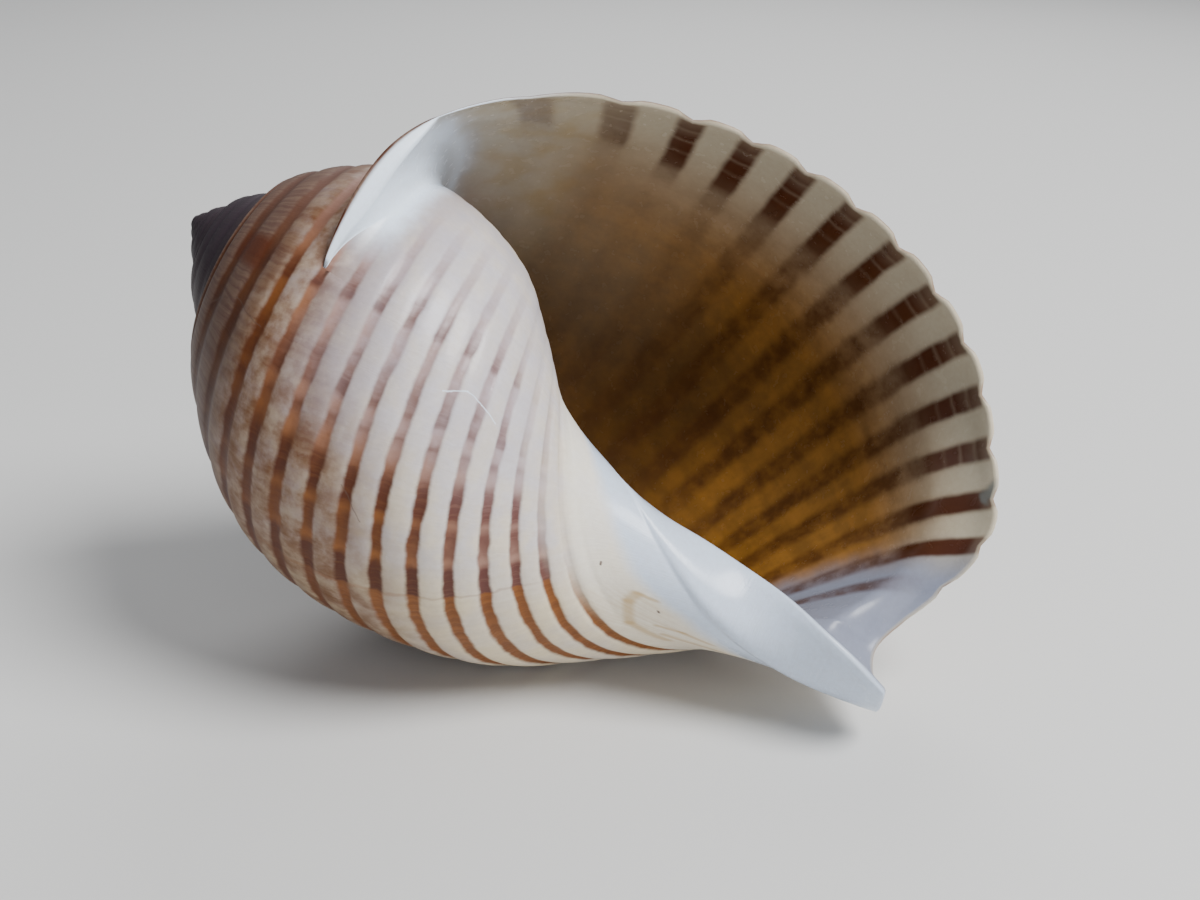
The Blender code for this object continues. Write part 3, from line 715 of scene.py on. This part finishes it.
class NodeBoard:
    """Shortcuts for wiring shader nodes in one tree."""

    def __init__(self, tree):
        self.tree = tree

    def node(self, kind, **settings):
        made = self.tree.nodes.new(kind)
        for name, value in settings.items():
            setattr(made, name, value)
        return made

    def plug(self, socket, value):
        if isinstance(value, bpy.types.NodeSocket):
            self.tree.links.new(value, socket)
        else:
            socket.default_value = value

    def math(self, operation, a, b=0.0):
        made = self.node("ShaderNodeMath", operation=operation)
        for socket, value in zip(made.inputs, (a, b)):
            self.plug(socket, value)
        return made.outputs[0]

    def add(self, a, b):
        return self.math("ADD", a, b)

    def subtract(self, a, b):
        return self.math("SUBTRACT", a, b)

    def times(self, a, b):
        return self.math("MULTIPLY", a, b)

    def either(self, a, b):
        return self.math("MAXIMUM", a, b)

    def opposite(self, a):
        return self.math("SUBTRACT", 1.0, a)

    def fade(self, value, low, high, start=0.0, end=1.0):
        """Smooth change from start to end as value goes from low to high."""
        made = self.node("ShaderNodeMapRange", interpolation_type="SMOOTHSTEP")
        for socket, given in zip(made.inputs, (value, low, high, start, end)):
            self.plug(socket, given)
        return made.outputs[0]

    def window(self, value, low, high, soft):
        """1 between low and high, with soft edges."""
        rise = self.fade(value, low - soft, low + soft)
        return self.times(rise, self.fade(value, high - soft, high + soft, 1.0, 0.0))

    def ramp(self, value, low, high, stops):
        """Amount read off a given curve of (place, amount) stops, for places from low to high."""
        made = self.node("ShaderNodeValToRGB")
        spot = self.node("ShaderNodeMapRange")
        for socket, given in zip(spot.inputs, (value, low, high)):
            self.plug(socket, given)
        self.plug(made.inputs[0], spot.outputs[0])
        elements = made.color_ramp.elements
        elements.remove(elements[1])
        elements[0].position = 0.0
        elements[0].color = (stops[0][1],) * 3 + (1.0,)
        for place, amount in stops:
            elements.new((place - low) / (high - low)).color = (amount, amount, amount, 1.0)
        return made.outputs[0]

    def mix(self, amount, first, second, kind="MIX"):
        """Colour first turned into second by amount."""
        made = self.node("ShaderNodeMix", data_type="RGBA", blend_type=kind)
        self.plug(made.inputs[0], amount)
        self.plug(made.inputs[6], first)
        self.plug(made.inputs[7], second)
        return made.outputs[2]

    def vector(self, x, y, z):
        made = self.node("ShaderNodeCombineXYZ")
        for socket, value in zip(made.inputs, (x, y, z)):
            self.plug(socket, value)
        return made.outputs[0]

    def noise(self, vector, scale, detail=2.0, roughness=0.5):
        made = self.node("ShaderNodeTexNoise")
        self.plug(made.inputs["Vector"], vector)
        made.inputs["Scale"].default_value = scale
        made.inputs["Detail"].default_value = detail
        made.inputs["Roughness"].default_value = roughness
        return made.outputs[0]

    def wander(self, value, vector, scale, reach):
        """The value moved up and down by a soft noise, by up to reach either way."""
        return self.add(value, self.times(self.subtract(self.noise(vector, scale), 0.5), 2.0 * reach))

    def mark(self, name):
        """One of the mesh's own numbers: growth, rib, side or behind_lip."""
        return self.node("ShaderNodeAttribute", attribute_name=name).outputs["Fac"]

    def group(self, tree, **values):
        made = self.node("ShaderNodeGroup", node_tree=tree)
        for name, value in values.items():
            self.plug(made.inputs[name.replace("_", " ")], value)
        return made.outputs[0]


def new_group(name, inputs, output):
    """An empty shader node group with named number sockets, and its board, input and output nodes."""
    tree = bpy.data.node_groups.new(name, "ShaderNodeTree")
    for label in inputs:
        tree.interface.new_socket(name=label, in_out="INPUT", socket_type="NodeSocketFloat")
    tree.interface.new_socket(name=output, in_out="OUTPUT", socket_type="NodeSocketFloat")
    board = NodeBoard(tree)
    return tree, board, board.node("NodeGroupInput"), board.node("NodeGroupOutput")


def furrow_stripe_group():
    """Stripe along each furrow, with a half width and softness in rib numbers."""
    tree, board, given, made = new_group("furrow stripe", ("Rib", "Half width", "Softness"), "Mask")
    off = board.math("PINGPONG", given.outputs["Rib"], 0.5)
    low = board.subtract(given.outputs["Half width"], given.outputs["Softness"])
    high = board.add(given.outputs["Half width"], given.outputs["Softness"])
    board.plug(made.inputs["Mask"], board.fade(off, low, high, 1.0, 0.0))
    return tree


def growth_lines_group():
    """Fine uneven lines that run across the ribs, as the lip left them."""
    tree, board, given, made = new_group("growth lines", ("Degrees", "Rib", "Fineness"), "Lines")
    lean = board.subtract(given.outputs["Degrees"], board.times(given.outputs["Rib"], GROWTH_LINE_LEAN))
    along = board.times(lean, given.outputs["Fineness"])
    lines = board.noise(board.vector(along, board.times(given.outputs["Rib"], 0.35), 0.0), 1.0, 3.0, 0.6)
    board.plug(made.inputs["Lines"], board.fade(lines, 0.3, 0.7))
    return tree


def hairline_group():
    """A thin line between two places given by degrees and rib number."""
    names = ("Degrees", "Rib", "From degrees", "From rib", "To degrees", "To rib", "Width")
    tree, board, given, made = new_group("hairline", names, "Mask")
    get = given.outputs
    across = board.times(board.subtract(get["To rib"], get["From rib"]), RIB_IN_DEGREES)
    along = board.subtract(get["To degrees"], get["From degrees"])
    x = board.subtract(get["Degrees"], get["From degrees"])
    y = board.times(board.subtract(get["Rib"], get["From rib"]), RIB_IN_DEGREES)
    length = board.add(board.times(along, along), board.times(across, across))
    spot = board.add(board.times(x, along), board.times(y, across))
    share = board.math("DIVIDE", spot, length)
    inside = board.node("ShaderNodeClamp")
    board.plug(inside.inputs[0], share)
    dx = board.subtract(x, board.times(inside.outputs[0], along))
    dy = board.subtract(y, board.times(inside.outputs[0], across))
    off = board.math("SQRT", board.add(board.times(dx, dx), board.times(dy, dy)))
    board.plug(made.inputs["Mask"], board.fade(off, board.times(get["Width"], 0.2), get["Width"], 1.0, 0.0))
    return tree


class ShellPaint:
    """Builds the shell's material from the colours in the panel."""

    def __init__(self, material, colours):
        self.board = NodeBoard(material.node_tree)
        self.surface = material.node_tree.nodes["Principled BSDF"]
        self.colours = colours
        self.stripe_group = furrow_stripe_group()
        self.lines_group = growth_lines_group()
        self.hairline_group = hairline_group()
        board = self.board
        self.degrees = board.mark("growth")
        self.rib = board.mark("rib")
        self.side = board.mark("side")
        self.behind = board.mark("behind_lip")
        place = board.node("ShaderNodeVectorMath", operation="SCALE")
        board.plug(place.inputs[0], board.node("ShaderNodeTexCoord").outputs["Object"])
        place.inputs["Scale"].default_value = 1.0 / MM
        self.place = place.outputs[0]
        self.mottle = board.noise(self.place, 0.35, 4.0, 0.6)
        self.wavy_rib = board.wander(self.rib, self.place, 0.22, 0.07)
        self.wavy_degrees = board.wander(self.degrees, self.place, 0.4, 1.6)
        self.fine_lines = board.group(self.lines_group, Degrees=self.wavy_degrees, Rib=self.rib, Fineness=0.7)

        # Degrees along a growth line, and rib number corrected for the shoulder's slope and the spire
        leaned = board.times(board.subtract(self.rib, LEVEL_RIB), GROWTH_LINE_LEAN)
        self.growth_line = board.subtract(self.wavy_degrees, leaned)
        slope = board.math("MINIMUM", board.either(self.wavy_degrees, SLOPE_DEGREES[0]), SLOPE_DEGREES[1])
        self.height = board.add(self.rib, board.times(board.subtract(slope, LEVEL_DEGREES), RIBS_PER_DEGREE))
        # Painted shade and a painted bluish reflection on the spire
        self.spire_shade_and_reflection = board.fade(board.wander(self.rib, self.place, 0.15, 0.5), *SPIRE_SHADE_RIBS)

    def colour(self, name):
        return (*getattr(self.colours, name), 1.0)

    def lay(self, ground, mask, name, amount=1.0):
        """The ground with a named colour over it, as strong as the mask times the amount."""
        if amount != 1.0:
            mask = self.board.times(mask, amount)
        return self.board.mix(mask, ground, self.colour(name))

    def ribs(self):
        """Cream ribs, brown towards the shoulder, partly their own colour and partly painted shade, with
        painted shade and a painted bluish reflection on the spire, and white on the base.
        """
        board = self.board
        worn = board.fade(board.noise(self.place, 0.18, 3.0), 0.35, 0.65, 0.0, 0.5)
        fresh = board.mix(worn, self.colour("rib"), self.colour("worn_rib"))
        kept = board.fade(board.noise(self.place, 0.3, 3.0), 0.35, 0.65, 0.0, 0.6)
        older = board.mix(kept, self.colour("worn_rib"), self.colour("rib"))
        ground = board.mix(board.fade(self.growth_line, *FRESH_DEGREES), older, fresh)
        # Brown towards the shoulder: partly the shell's own colour, partly painted shade on that side
        tan_and_shade = board.times(board.fade(self.height, *TAN_AND_SHADE_HEIGHTS), board.fade(self.mottle, 0.25, 0.7, 0.6, 1.0))
        ground = self.lay(ground, tan_and_shade, "shoulder")
        # Spire ribs turned dusky mauve-grey: painted shade and a painted bluish reflection
        ground = self.lay(ground, self.spire_shade_and_reflection, "spire")
        ground = self.lay(ground, board.opposite(self.fine_lines), "line", 0.16)
        base = board.fade(board.wander(self.rib, self.place, 0.2, 0.3), *BASE_RIBS, 1.0, 0.0)
        return self.lay(ground, base, "base", 0.7)

    def stripe_strength(self):
        """How clearly the stripes show: fainter beside the mouth, and none on the base."""
        board = self.board
        degrees = self.wavy_degrees
        rib = self.rib
        start = board.add(degrees, board.times(board.math("MINIMUM", rib, 4.3), 30.0))
        shown = board.fade(start, -212.0, -160.0)
        faint = board.times(board.fade(degrees, -325.0, -285.0), board.fade(rib, 1.2, 2.2, 0.14, 0.5))
        shown = board.either(board.either(shown, faint), board.fade(rib, 10.6, 11.4))
        return board.times(shown, board.fade(rib, 0.5, 0.8))

    def stripe_colour(self, dash):
        """Dashes up to the growth scar, one plain colour after it, darker towards the shoulder partly as
        painted shade, and stripes made nearly black on the spire by painted shade.
        """
        board = self.board
        low = board.fade(self.rib, 3.5, 7.0, 1.0, 0.0)
        mauve = board.either(low, board.fade(self.wavy_degrees, -315.0, -270.0, 1.0, 0.0))
        between = board.mix(mauve, self.colour("stripe"), self.colour("faint_stripe"))
        dashed = board.mix(dash, between, board.mix(mauve, self.colour("dark_stripe"), self.colour("dash")))
        # Stripes darker towards the shoulder: partly their own colour, partly painted shade on that side
        dashed = self.lay(dashed, board.fade(self.height, 8.5, 11.0), "dark_stripe", 0.6)
        plain = self.lay(self.colour("stripe"), board.fade(self.height, 7.5, 10.5), "dark_stripe", 0.8)
        plain = self.lay(plain, board.opposite(self.fine_lines), "dark_stripe", 0.45)
        recent = board.fade(self.growth_line, SCAR_DEGREES - 0.6, SCAR_DEGREES + 0.6)
        # Stripes darkened under the spire's painted shade
        return self.lay(board.mix(recent, dashed, plain), self.spire_shade_and_reflection, "spire_stripe", 0.6)

    def glaze_and_callus(self, painted, marked):
        """Lilac glaze and white callus beside the mouth, amber under the next whorl, and the columella."""
        board = self.board
        degrees = self.wavy_degrees
        rib = self.rib
        glaze = board.times(board.window(degrees, *GLAZE_DEGREES, 16.0), board.window(rib, *GLAZE_RIBS, 1.5))
        glaze = board.times(glaze, board.fade(self.mottle, 0.2, 0.75, 0.3, 0.6))
        glaze = board.times(glaze, board.fade(marked, 0.0, 1.0, 1.0, 0.35))
        painted = self.lay(painted, glaze, "glaze")
        callus = board.times(board.fade(board.wander(rib, self.place, 0.5, 0.2), *CALLUS_RIBS),
                             board.fade(degrees, *CALLUS_DEGREES, 1.0, 0.0))
        callus = board.times(callus, board.fade(rib, 11.0, 11.3, 1.0, 0.0))
        painted = self.lay(painted, callus, "callus")
        covered = board.fade(degrees, *COVERED_DEGREES, 1.0, 0.0)
        painted = self.lay(painted, board.times(covered, board.fade(rib, 10.9, 11.1, 1.0, 0.0)), "amber")

        fan = board.group(self.lines_group, Degrees=board.add(self.degrees, board.times(rib, 16.0)), Rib=rib,
                          Fineness=0.3)
        crescents = board.times(board.window(degrees, -215.0, -120.0, 14.0),
                                board.window(rib, -2.2, 0.8, 0.6))
        painted = self.lay(painted, board.times(fan, crescents), "crescent", 0.35)
        rise = board.times(board.fade(degrees, -235.0, -195.0), 0.9)
        raised = board.add(board.wander(rib, self.place, 0.25, 0.25), rise)
        columella = board.fade(raised, *COLUMELLA_RIBS, 1.0, 0.0)
        painted = self.lay(painted, columella, "columella")
        self.gloss = board.either(glaze, board.either(callus, columella))
        return painted

    def hairlines(self, painted):
        """Crescents of the front end, and small damage: cracks, scratches and specks."""
        board = self.board
        wavering = board.wander(self.degrees, self.place, 1.2, 0.5)
        for marks, name, amount in HAIRLINES:
            for line in marks:
                ends = dict(zip(LINE_ENDS, line))
                mask = board.group(self.hairline_group, Degrees=wavering, Rib=self.rib, **ends)
                painted = self.lay(painted, mask, name, amount)
        return painted

    def outside(self):
        """Colour of the ribs, stripes, spire, glaze and callus, with the small damage."""
        board = self.board
        scar = board.times(board.window(self.growth_line, SCAR_DEGREES - 0.5, SCAR_DEGREES + 0.5, 0.35),
                           board.window(self.rib, 2.5, 10.5, 1.0))
        ground = self.lay(self.ribs(), scar, "stripe", 0.3)
        width = board.fade(self.mottle, 0.3, 0.7, 0.15, 0.205)
        stripe = board.group(self.stripe_group, Rib=self.wavy_rib, Half_width=width, Softness=0.07)
        dash = board.wander(board.ramp(self.growth_line, *DASH_RANGE, DASHES), self.place, 0.5, 0.18)
        dash = board.times(board.fade(dash, 0.3, 0.85), board.fade(self.fine_lines, 0.0, 0.6, 0.8, 1.0))
        painted = board.mix(board.times(stripe, self.stripe_strength()), ground, self.stripe_colour(dash))

        # Patch and nub of the spire
        patch = board.times(board.window(self.wavy_degrees, *PATCH_DEGREES, 2.5),
                            board.window(self.rib, *PATCH_RIBS, 0.15))
        painted = self.lay(painted, patch, "dark_stripe", 0.85)
        painted = self.lay(painted, board.fade(self.wavy_degrees, *NUB_DEGREES, 1.0, 0.0), "nub", 0.9)
        return self.hairlines(self.glaze_and_callus(painted, board.times(stripe, dash)))

    def hollow(self, behind):
        """Cream band behind the lip, then amber that darkens inwards, with painted shade deeper in the hollow
        and soft bands across it.
        """
        board = self.board
        deep = board.fade(behind, *AMBER_BEHIND)
        # The lip's cream, darkened as painted shade, turning to amber inwards
        ground = board.mix(deep, self.colour("lip"), self.colour("amber"))
        # Painted shade deep in the hollow, under the shoulder
        dark = board.times(board.fade(behind, *RECESS_SHADE_BEHIND), board.window(self.rib, *RECESS_SHADE_RIBS, 1.2))
        ground = self.lay(ground, board.times(dark, board.fade(self.mottle, 0.2, 0.8, 0.75, 1.0)), "deep")
        clouds = board.times(board.fade(self.mottle, 0.35, 0.7), deep)
        ground = self.lay(ground, clouds, "deep", 0.35)
        bands = board.group(self.lines_group, Degrees=self.degrees, Rib=self.rib, Fineness=0.22)
        return self.lay(ground, board.times(bands, deep), "deep", 0.3)

    def mouth_ends(self, ground, behind):
        """Pale lilac front end darkened as painted shade, pale shoulder with yellow mottling, and white by
        the suture.
        """
        board = self.board
        rib = self.rib
        receding = board.add(rib, board.times(self.behind, -0.012))
        # Pale lilac of the front end, darkened as painted shade
        front = board.fade(board.wander(receding, self.place, 0.3, 0.2), *FRONT_RIBS, 1.0, 0.0)
        ground = self.lay(ground, front, "front")
        pale = board.times(board.fade(rib, *PALE_RIBS, 0.03, 0.3), board.window(behind, 10.0, 60.0, 18.0))
        ground = self.lay(ground, pale, "lip")
        shoulder = board.times(board.fade(rib, *SHOULDER_RIBS), board.fade(behind, 30.0, 85.0, 1.0, 0.0))
        spots = board.fade(board.noise(self.place, 0.22, 2.0), 0.42, 0.7)
        ground = board.mix(shoulder, ground, self.lay(self.colour("lip"), spots, "yellow_mottle", 0.6))
        corner = board.fade(board.wander(rib, self.place, 0.2, 0.3), *CORNER_RIBS)
        return self.lay(ground, board.times(corner, board.fade(behind, 60.0, 110.0, 1.0, 0.0)), "callus")

    def bars(self, ground, behind):
        """Dark bars behind the lip, in short pieces, and the faint stripes that go on behind them."""
        board = self.board
        stripe = board.group(self.stripe_group, Rib=board.wander(self.rib, self.place, 0.3, 0.04),
                             Half_width=0.21, Softness=0.07)
        bars = board.ramp(board.wander(self.behind, self.place, 0.6, 0.35), 0.0, BARS[-1][0], BARS)
        fading = board.times(board.window(self.rib, *BAR_RIBS, 0.2),
                             board.fade(self.rib, *FAINT_BAR_RIBS, 1.0, 0.5))
        low_bar = board.times(board.window(self.behind, 0.6, 24.0, 4.0),
                              board.window(self.rib, *LOW_BAR_RIBS, 0.2))
        bars = board.either(board.times(bars, fading), low_bar)
        ground = self.lay(ground, board.times(stripe, bars), "bar", 0.97)
        trail = board.times(board.window(behind, *TRAIL_BEHIND, 12.0), board.fade(self.rib, 0.5, 0.8))
        trail = board.times(trail, board.fade(self.rib, *TRAIL_RIBS, 1.0, 0.15))
        trail = board.times(trail, board.fade(self.mottle, 0.3, 0.7, 0.45, 0.85))
        wide = board.group(self.stripe_group, Rib=self.wavy_rib, Half_width=0.24, Softness=0.13)
        return self.lay(ground, board.times(wide, trail), "trail")

    def inside(self):
        """Colour of the glossy inside of the mouth, with the chip on its lip."""
        board = self.board
        behind = board.wander(self.behind, self.place, 0.5, 0.8)
        ground = self.mouth_ends(self.hollow(behind), behind)
        ground = self.bars(ground, behind)
        ends = dict(zip(LINE_ENDS, CHIP))
        chip = board.group(self.hairline_group, Degrees=self.degrees,
                           Rib=board.wander(self.rib, self.place, 1.2, 0.06), **ends)
        return self.lay(ground, chip, "chip", 0.85)

    def rim(self, painted):
        """White edge by the suture, cream edge along the lip and brown edge in the notch."""
        board = self.board
        for across, along, soft, name, amount in RIMS:
            mask = board.times(board.window(self.side, *across, 0.1), board.window(self.rib, *along, soft))
            painted = self.lay(painted, mask, name, amount)
        return painted

    def build(self):
        board = self.board
        inside_share = board.fade(self.side, 0.2, 0.8)
        painted = self.rim(board.mix(inside_share, self.outside(), self.inside()))
        grime = board.fade(board.noise(self.place, 1.6, 3.0), 0.3, 0.7, 0.0, 0.08)
        sockets = self.surface.inputs
        board.plug(sockets["Base Color"], board.mix(grime, painted, self.colour("line"), "MULTIPLY"))
        outside_share = board.opposite(inside_share)
        polish = board.fade(board.either(self.gloss, inside_share), 0.0, 1.0, 0.5, 0.26)
        board.plug(sockets["Roughness"], board.wander(polish, self.place, 0.8, 0.05))
        board.plug(sockets["Coat Weight"], board.times(outside_share, board.times(self.gloss, 0.35)))
        sockets["Coat Roughness"].default_value = 0.15
        sockets["Specular IOR Level"].default_value = 0.28
        pits = board.fade(board.noise(self.place, 1.4, 1.0), 0.24, 0.34)
        height = board.add(board.times(self.fine_lines, 0.35), board.times(pits, 0.25))
        height = board.add(height, board.times(board.noise(self.place, 3.0, 2.0), 0.25))
        bump = board.node("ShaderNodeBump")
        board.plug(bump.inputs["Height"], board.times(height, outside_share))
        bump.inputs["Strength"].default_value = 0.35
        bump.inputs["Distance"].default_value = 0.1 * MM
        board.plug(sockets["Normal"], bump.outputs["Normal"])


def colour_setting(name, description, default):
    """A colour that the panel offers."""
    return bpy.props.FloatVectorProperty(name=name, description=description, subtype="COLOR", size=3, min=0.0,
                                         max=1.0, default=default)


class ShellColours(bpy.types.PropertyGroup):
    """Colours of the shell."""

    rib: colour_setting("Rib", "Cream ribs of the last whorl", (0.74, 0.64, 0.46))
    worn_rib: colour_setting("Worn rib", "Lilac-white ribs under the glaze", (0.60, 0.56, 0.56))
    base: colour_setting("Base", "Smooth base beside the columella", (0.82, 0.78, 0.68))
    line: colour_setting("Growth line", "Fine darker growth lines on the ribs", (0.45, 0.34, 0.22))
    # Shoulder colour: the ribs' own brown, darkened further as painted shade
    shoulder: colour_setting("Shoulder", "Tan ribs near the shoulder", (0.135, 0.050, 0.014))
    # Dusky mauve-grey of the spire: painted shade and a painted bluish reflection
    spire: colour_setting("Spire", "Dusky ribs of the spire", (0.10, 0.052, 0.040))
    nub: colour_setting("Nub", "Dark first whorls", (0.022, 0.017, 0.026))
    stripe: colour_setting("Stripe", "Orange-brown stripes in the furrows", (0.235, 0.082, 0.018))
    # Also laid over the stripes towards the shoulder, where it is partly painted shade
    dark_stripe: colour_setting("Dark stripe", "Stripes near the shoulder", (0.080, 0.018, 0.004))
    faint_stripe: colour_setting("Faint stripe", "Stripes seen through the glaze", (0.30, 0.170, 0.130))
    dash: colour_setting("Dash", "Darker dashes in the stripes", (0.115, 0.040, 0.032))
    # Stripes on the spire, darkened there as painted shade
    spire_stripe: colour_setting("Spire stripe", "Stripes on the spire", (0.045, 0.018, 0.010))
    glaze: colour_setting("Glaze", "Thin lilac glaze beside the mouth", (0.46, 0.44, 0.51))
    callus: colour_setting("Callus", "White callus beside the mouth", (0.74, 0.84, 0.96))
    columella: colour_setting("Columella", "White twisted columella", (0.58, 0.67, 0.81))
    crescent: colour_setting("Crescent", "Yellow-brown crescents at the front end", (0.50, 0.34, 0.15))
    # Cream of the lip's inside, darkened as painted shade
    lip: colour_setting("Lip", "Cream band inside the lip", (0.44, 0.39, 0.29))
    amber: colour_setting("Amber", "Amber inside of the mouth", (0.29, 0.128, 0.020))
    # Dark brown of the deep inside: its own brown in the clouds and bands, and painted shade deeper in the
    # hollow
    deep: colour_setting("Deep", "Dark brown of the deep inside", (0.075, 0.033, 0.007))
    bar: colour_setting("Bar", "Dark bars behind the lip", (0.055, 0.011, 0.003))
    trail: colour_setting("Trail", "Faint stripes deeper inside", (0.065, 0.022, 0.006))
    # Pale lilac of the front end, darkened as painted shade
    front: colour_setting("Front", "Pale lilac inside of the front end", (0.22, 0.24, 0.31))
    yellow_mottle: colour_setting("Yellow mottle", "Yellow clouds under the shoulder", (0.36, 0.26, 0.10))
    chip: colour_setting("Chip", "Grey chip on the lip", (0.14, 0.15, 0.14))
    crack: colour_setting("Crack", "Cracks and specks", (0.10, 0.06, 0.045))


class ShellSizes(bpy.types.PropertyGroup):
    """Sizes of the shell's fine surface."""

    furrow_depth: bpy.props.FloatProperty(
        name="Furrow depth", description="Depth of the furrows between the ribs at the last whorl",
        default=0.00055, min=0.0, max=0.001, unit="LENGTH", precision=5)
    lip_thickness: bpy.props.FloatProperty(
        name="Lip thickness", description="Thickness of the wall at the outer lip",
        default=0.0008, min=0.0005, max=0.003, unit="LENGTH", precision=5)
    inner_relief: bpy.props.FloatProperty(
        name="Inner relief", description="Height of the low ridges inside the mouth, behind the furrows",
        default=0.0003, min=0.0, max=0.001, unit="LENGTH", precision=5)


class StudioSettings(bpy.types.PropertyGroup):
    """Camera, floor and lights."""

    lens: bpy.props.FloatProperty(
        name="Lens", description="Focal length of the camera on a 36 mm sensor", default=49.85, min=20.0,
        max=200.0, unit="CAMERA")
    floor_colour: colour_setting("Floor colour", "Colour of the plain floor", (0.64, 0.64, 0.63))


class SHELL_OT_surface(bpy.types.Operator):
    """Builds the shell's fine surface and its material, in place of the plain solid."""

    bl_idname = "tun_shell.surface"
    bl_label = "Shell surface"

    def execute(self, context):
        form = ShellForm(context.scene.tun_shell_sizes)
        mesh = make_shell_mesh(form)
        shell = bpy.data.objects.new("shell_surface", mesh)
        context.scene.collection.objects.link(shell)
        material = bpy.data.materials.new("shell")
        material.use_nodes = True
        ShellPaint(material, context.scene.tun_shell_colours).build()
        mesh.materials.append(material)
        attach(shell, "root")
        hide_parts("tun_shell")
        return {"FINISHED"}


class SHELL_OT_studio(bpy.types.Operator):
    """Sets up the plain floor, the soft lights and the camera at the photograph's angle."""

    bl_idname = "tun_shell.studio"
    bl_label = "Studio"

    def execute(self, context):
        settings = context.scene.tun_shell_studio
        mesh = bpy.data.meshes.new("floor")
        corners = [(x * FLOOR_HALF, y * FLOOR_HALF, 0.0) for x, y in ((-1, -1), (1, -1), (1, 1), (-1, 1))]
        mesh.from_pydata(corners, [], [(0, 1, 2, 3)])
        floor = bpy.data.objects.new("floor", mesh)
        context.scene.collection.objects.link(floor)
        material = bpy.data.materials.new("floor")
        material.use_nodes = True
        surface = material.node_tree.nodes["Principled BSDF"]
        surface.inputs["Base Color"].default_value = (*settings.floor_colour, 1.0)
        surface.inputs["Roughness"].default_value = FLOOR_ROUGHNESS
        mesh.materials.append(material)

        world = bpy.data.worlds.new("studio")
        world.use_nodes = True
        sky = world.node_tree.nodes["Background"]
        sky.inputs["Color"].default_value = SKY_COLOUR
        sky.inputs["Strength"].default_value = SKY_STRENGTH
        context.scene.world = world
        for name, place, size, power in LIGHTS:
            light = bpy.data.lights.new(name, "AREA")
            light.shape = "DISK"
            light.size = size
            light.energy = power
            lamp = bpy.data.objects.new(name, light)
            lamp.location = place
            lamp.rotation_euler = (Vector(LIGHT_AIM) - Vector(place)).to_track_quat("-Z", "Y").to_euler()
            context.scene.collection.objects.link(lamp)

        data = bpy.data.cameras.new("camera")
        data.lens = settings.lens
        data.sensor_width = SENSOR_MM
        data.clip_start, data.clip_end = CAMERA_REACH
        camera = bpy.data.objects.new("camera", data)
        right = Vector(CAMERA_RIGHT).normalized()
        up = Vector(CAMERA_UP)
        back = right.cross(up).normalized()
        up = back.cross(right)
        turned = Matrix((right, up, back)).transposed().to_4x4()
        camera.matrix_world = Matrix.Translation(Vector(CAMERA_PLACE_MM) * MM) @ turned
        context.scene.collection.objects.link(camera)
        context.scene.camera = camera
        return {"FINISHED"}


class SHELL_PT_panel(bpy.types.Panel):
    """Sizes and colours of the shell, and the buttons that build it."""

    bl_idname = "SHELL_PT_panel"
    bl_label = "Tun Shell"
    bl_space_type = "VIEW_3D"
    bl_region_type = "UI"
    bl_category = "Tun Shell"

    def draw(self, context):
        layout = self.layout
        scene = context.scene
        for group in (scene.tun_shell_sizes, scene.tun_shell_colours, scene.tun_shell_studio):
            box = layout.box()
            for name in group.bl_rna.properties.keys():
                if name not in ("rna_type", "name"):
                    box.prop(group, name)
        for operator in OPERATORS:
            layout.operator(operator.bl_idname)


OPERATORS = (SHELL_OT_surface, SHELL_OT_studio)
CLASSES = (ShellSizes, ShellColours, StudioSettings) + OPERATORS + (SHELL_PT_panel,)


def register():
    for cls in CLASSES:
        bpy.utils.register_class(cls)
    bpy.types.Scene.tun_shell_sizes = bpy.props.PointerProperty(type=ShellSizes)
    bpy.types.Scene.tun_shell_colours = bpy.props.PointerProperty(type=ShellColours)
    bpy.types.Scene.tun_shell_studio = bpy.props.PointerProperty(type=StudioSettings)


def unregister():
    del bpy.types.Scene.tun_shell_studio
    del bpy.types.Scene.tun_shell_colours
    del bpy.types.Scene.tun_shell_sizes
    for cls in reversed(CLASSES):
        bpy.utils.unregister_class(cls)


def main():
    register()
    bpy.ops.tun_shell.studio()
    bpy.ops.tun_shell.surface()
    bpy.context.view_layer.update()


if __name__ == "__main__":
    main()
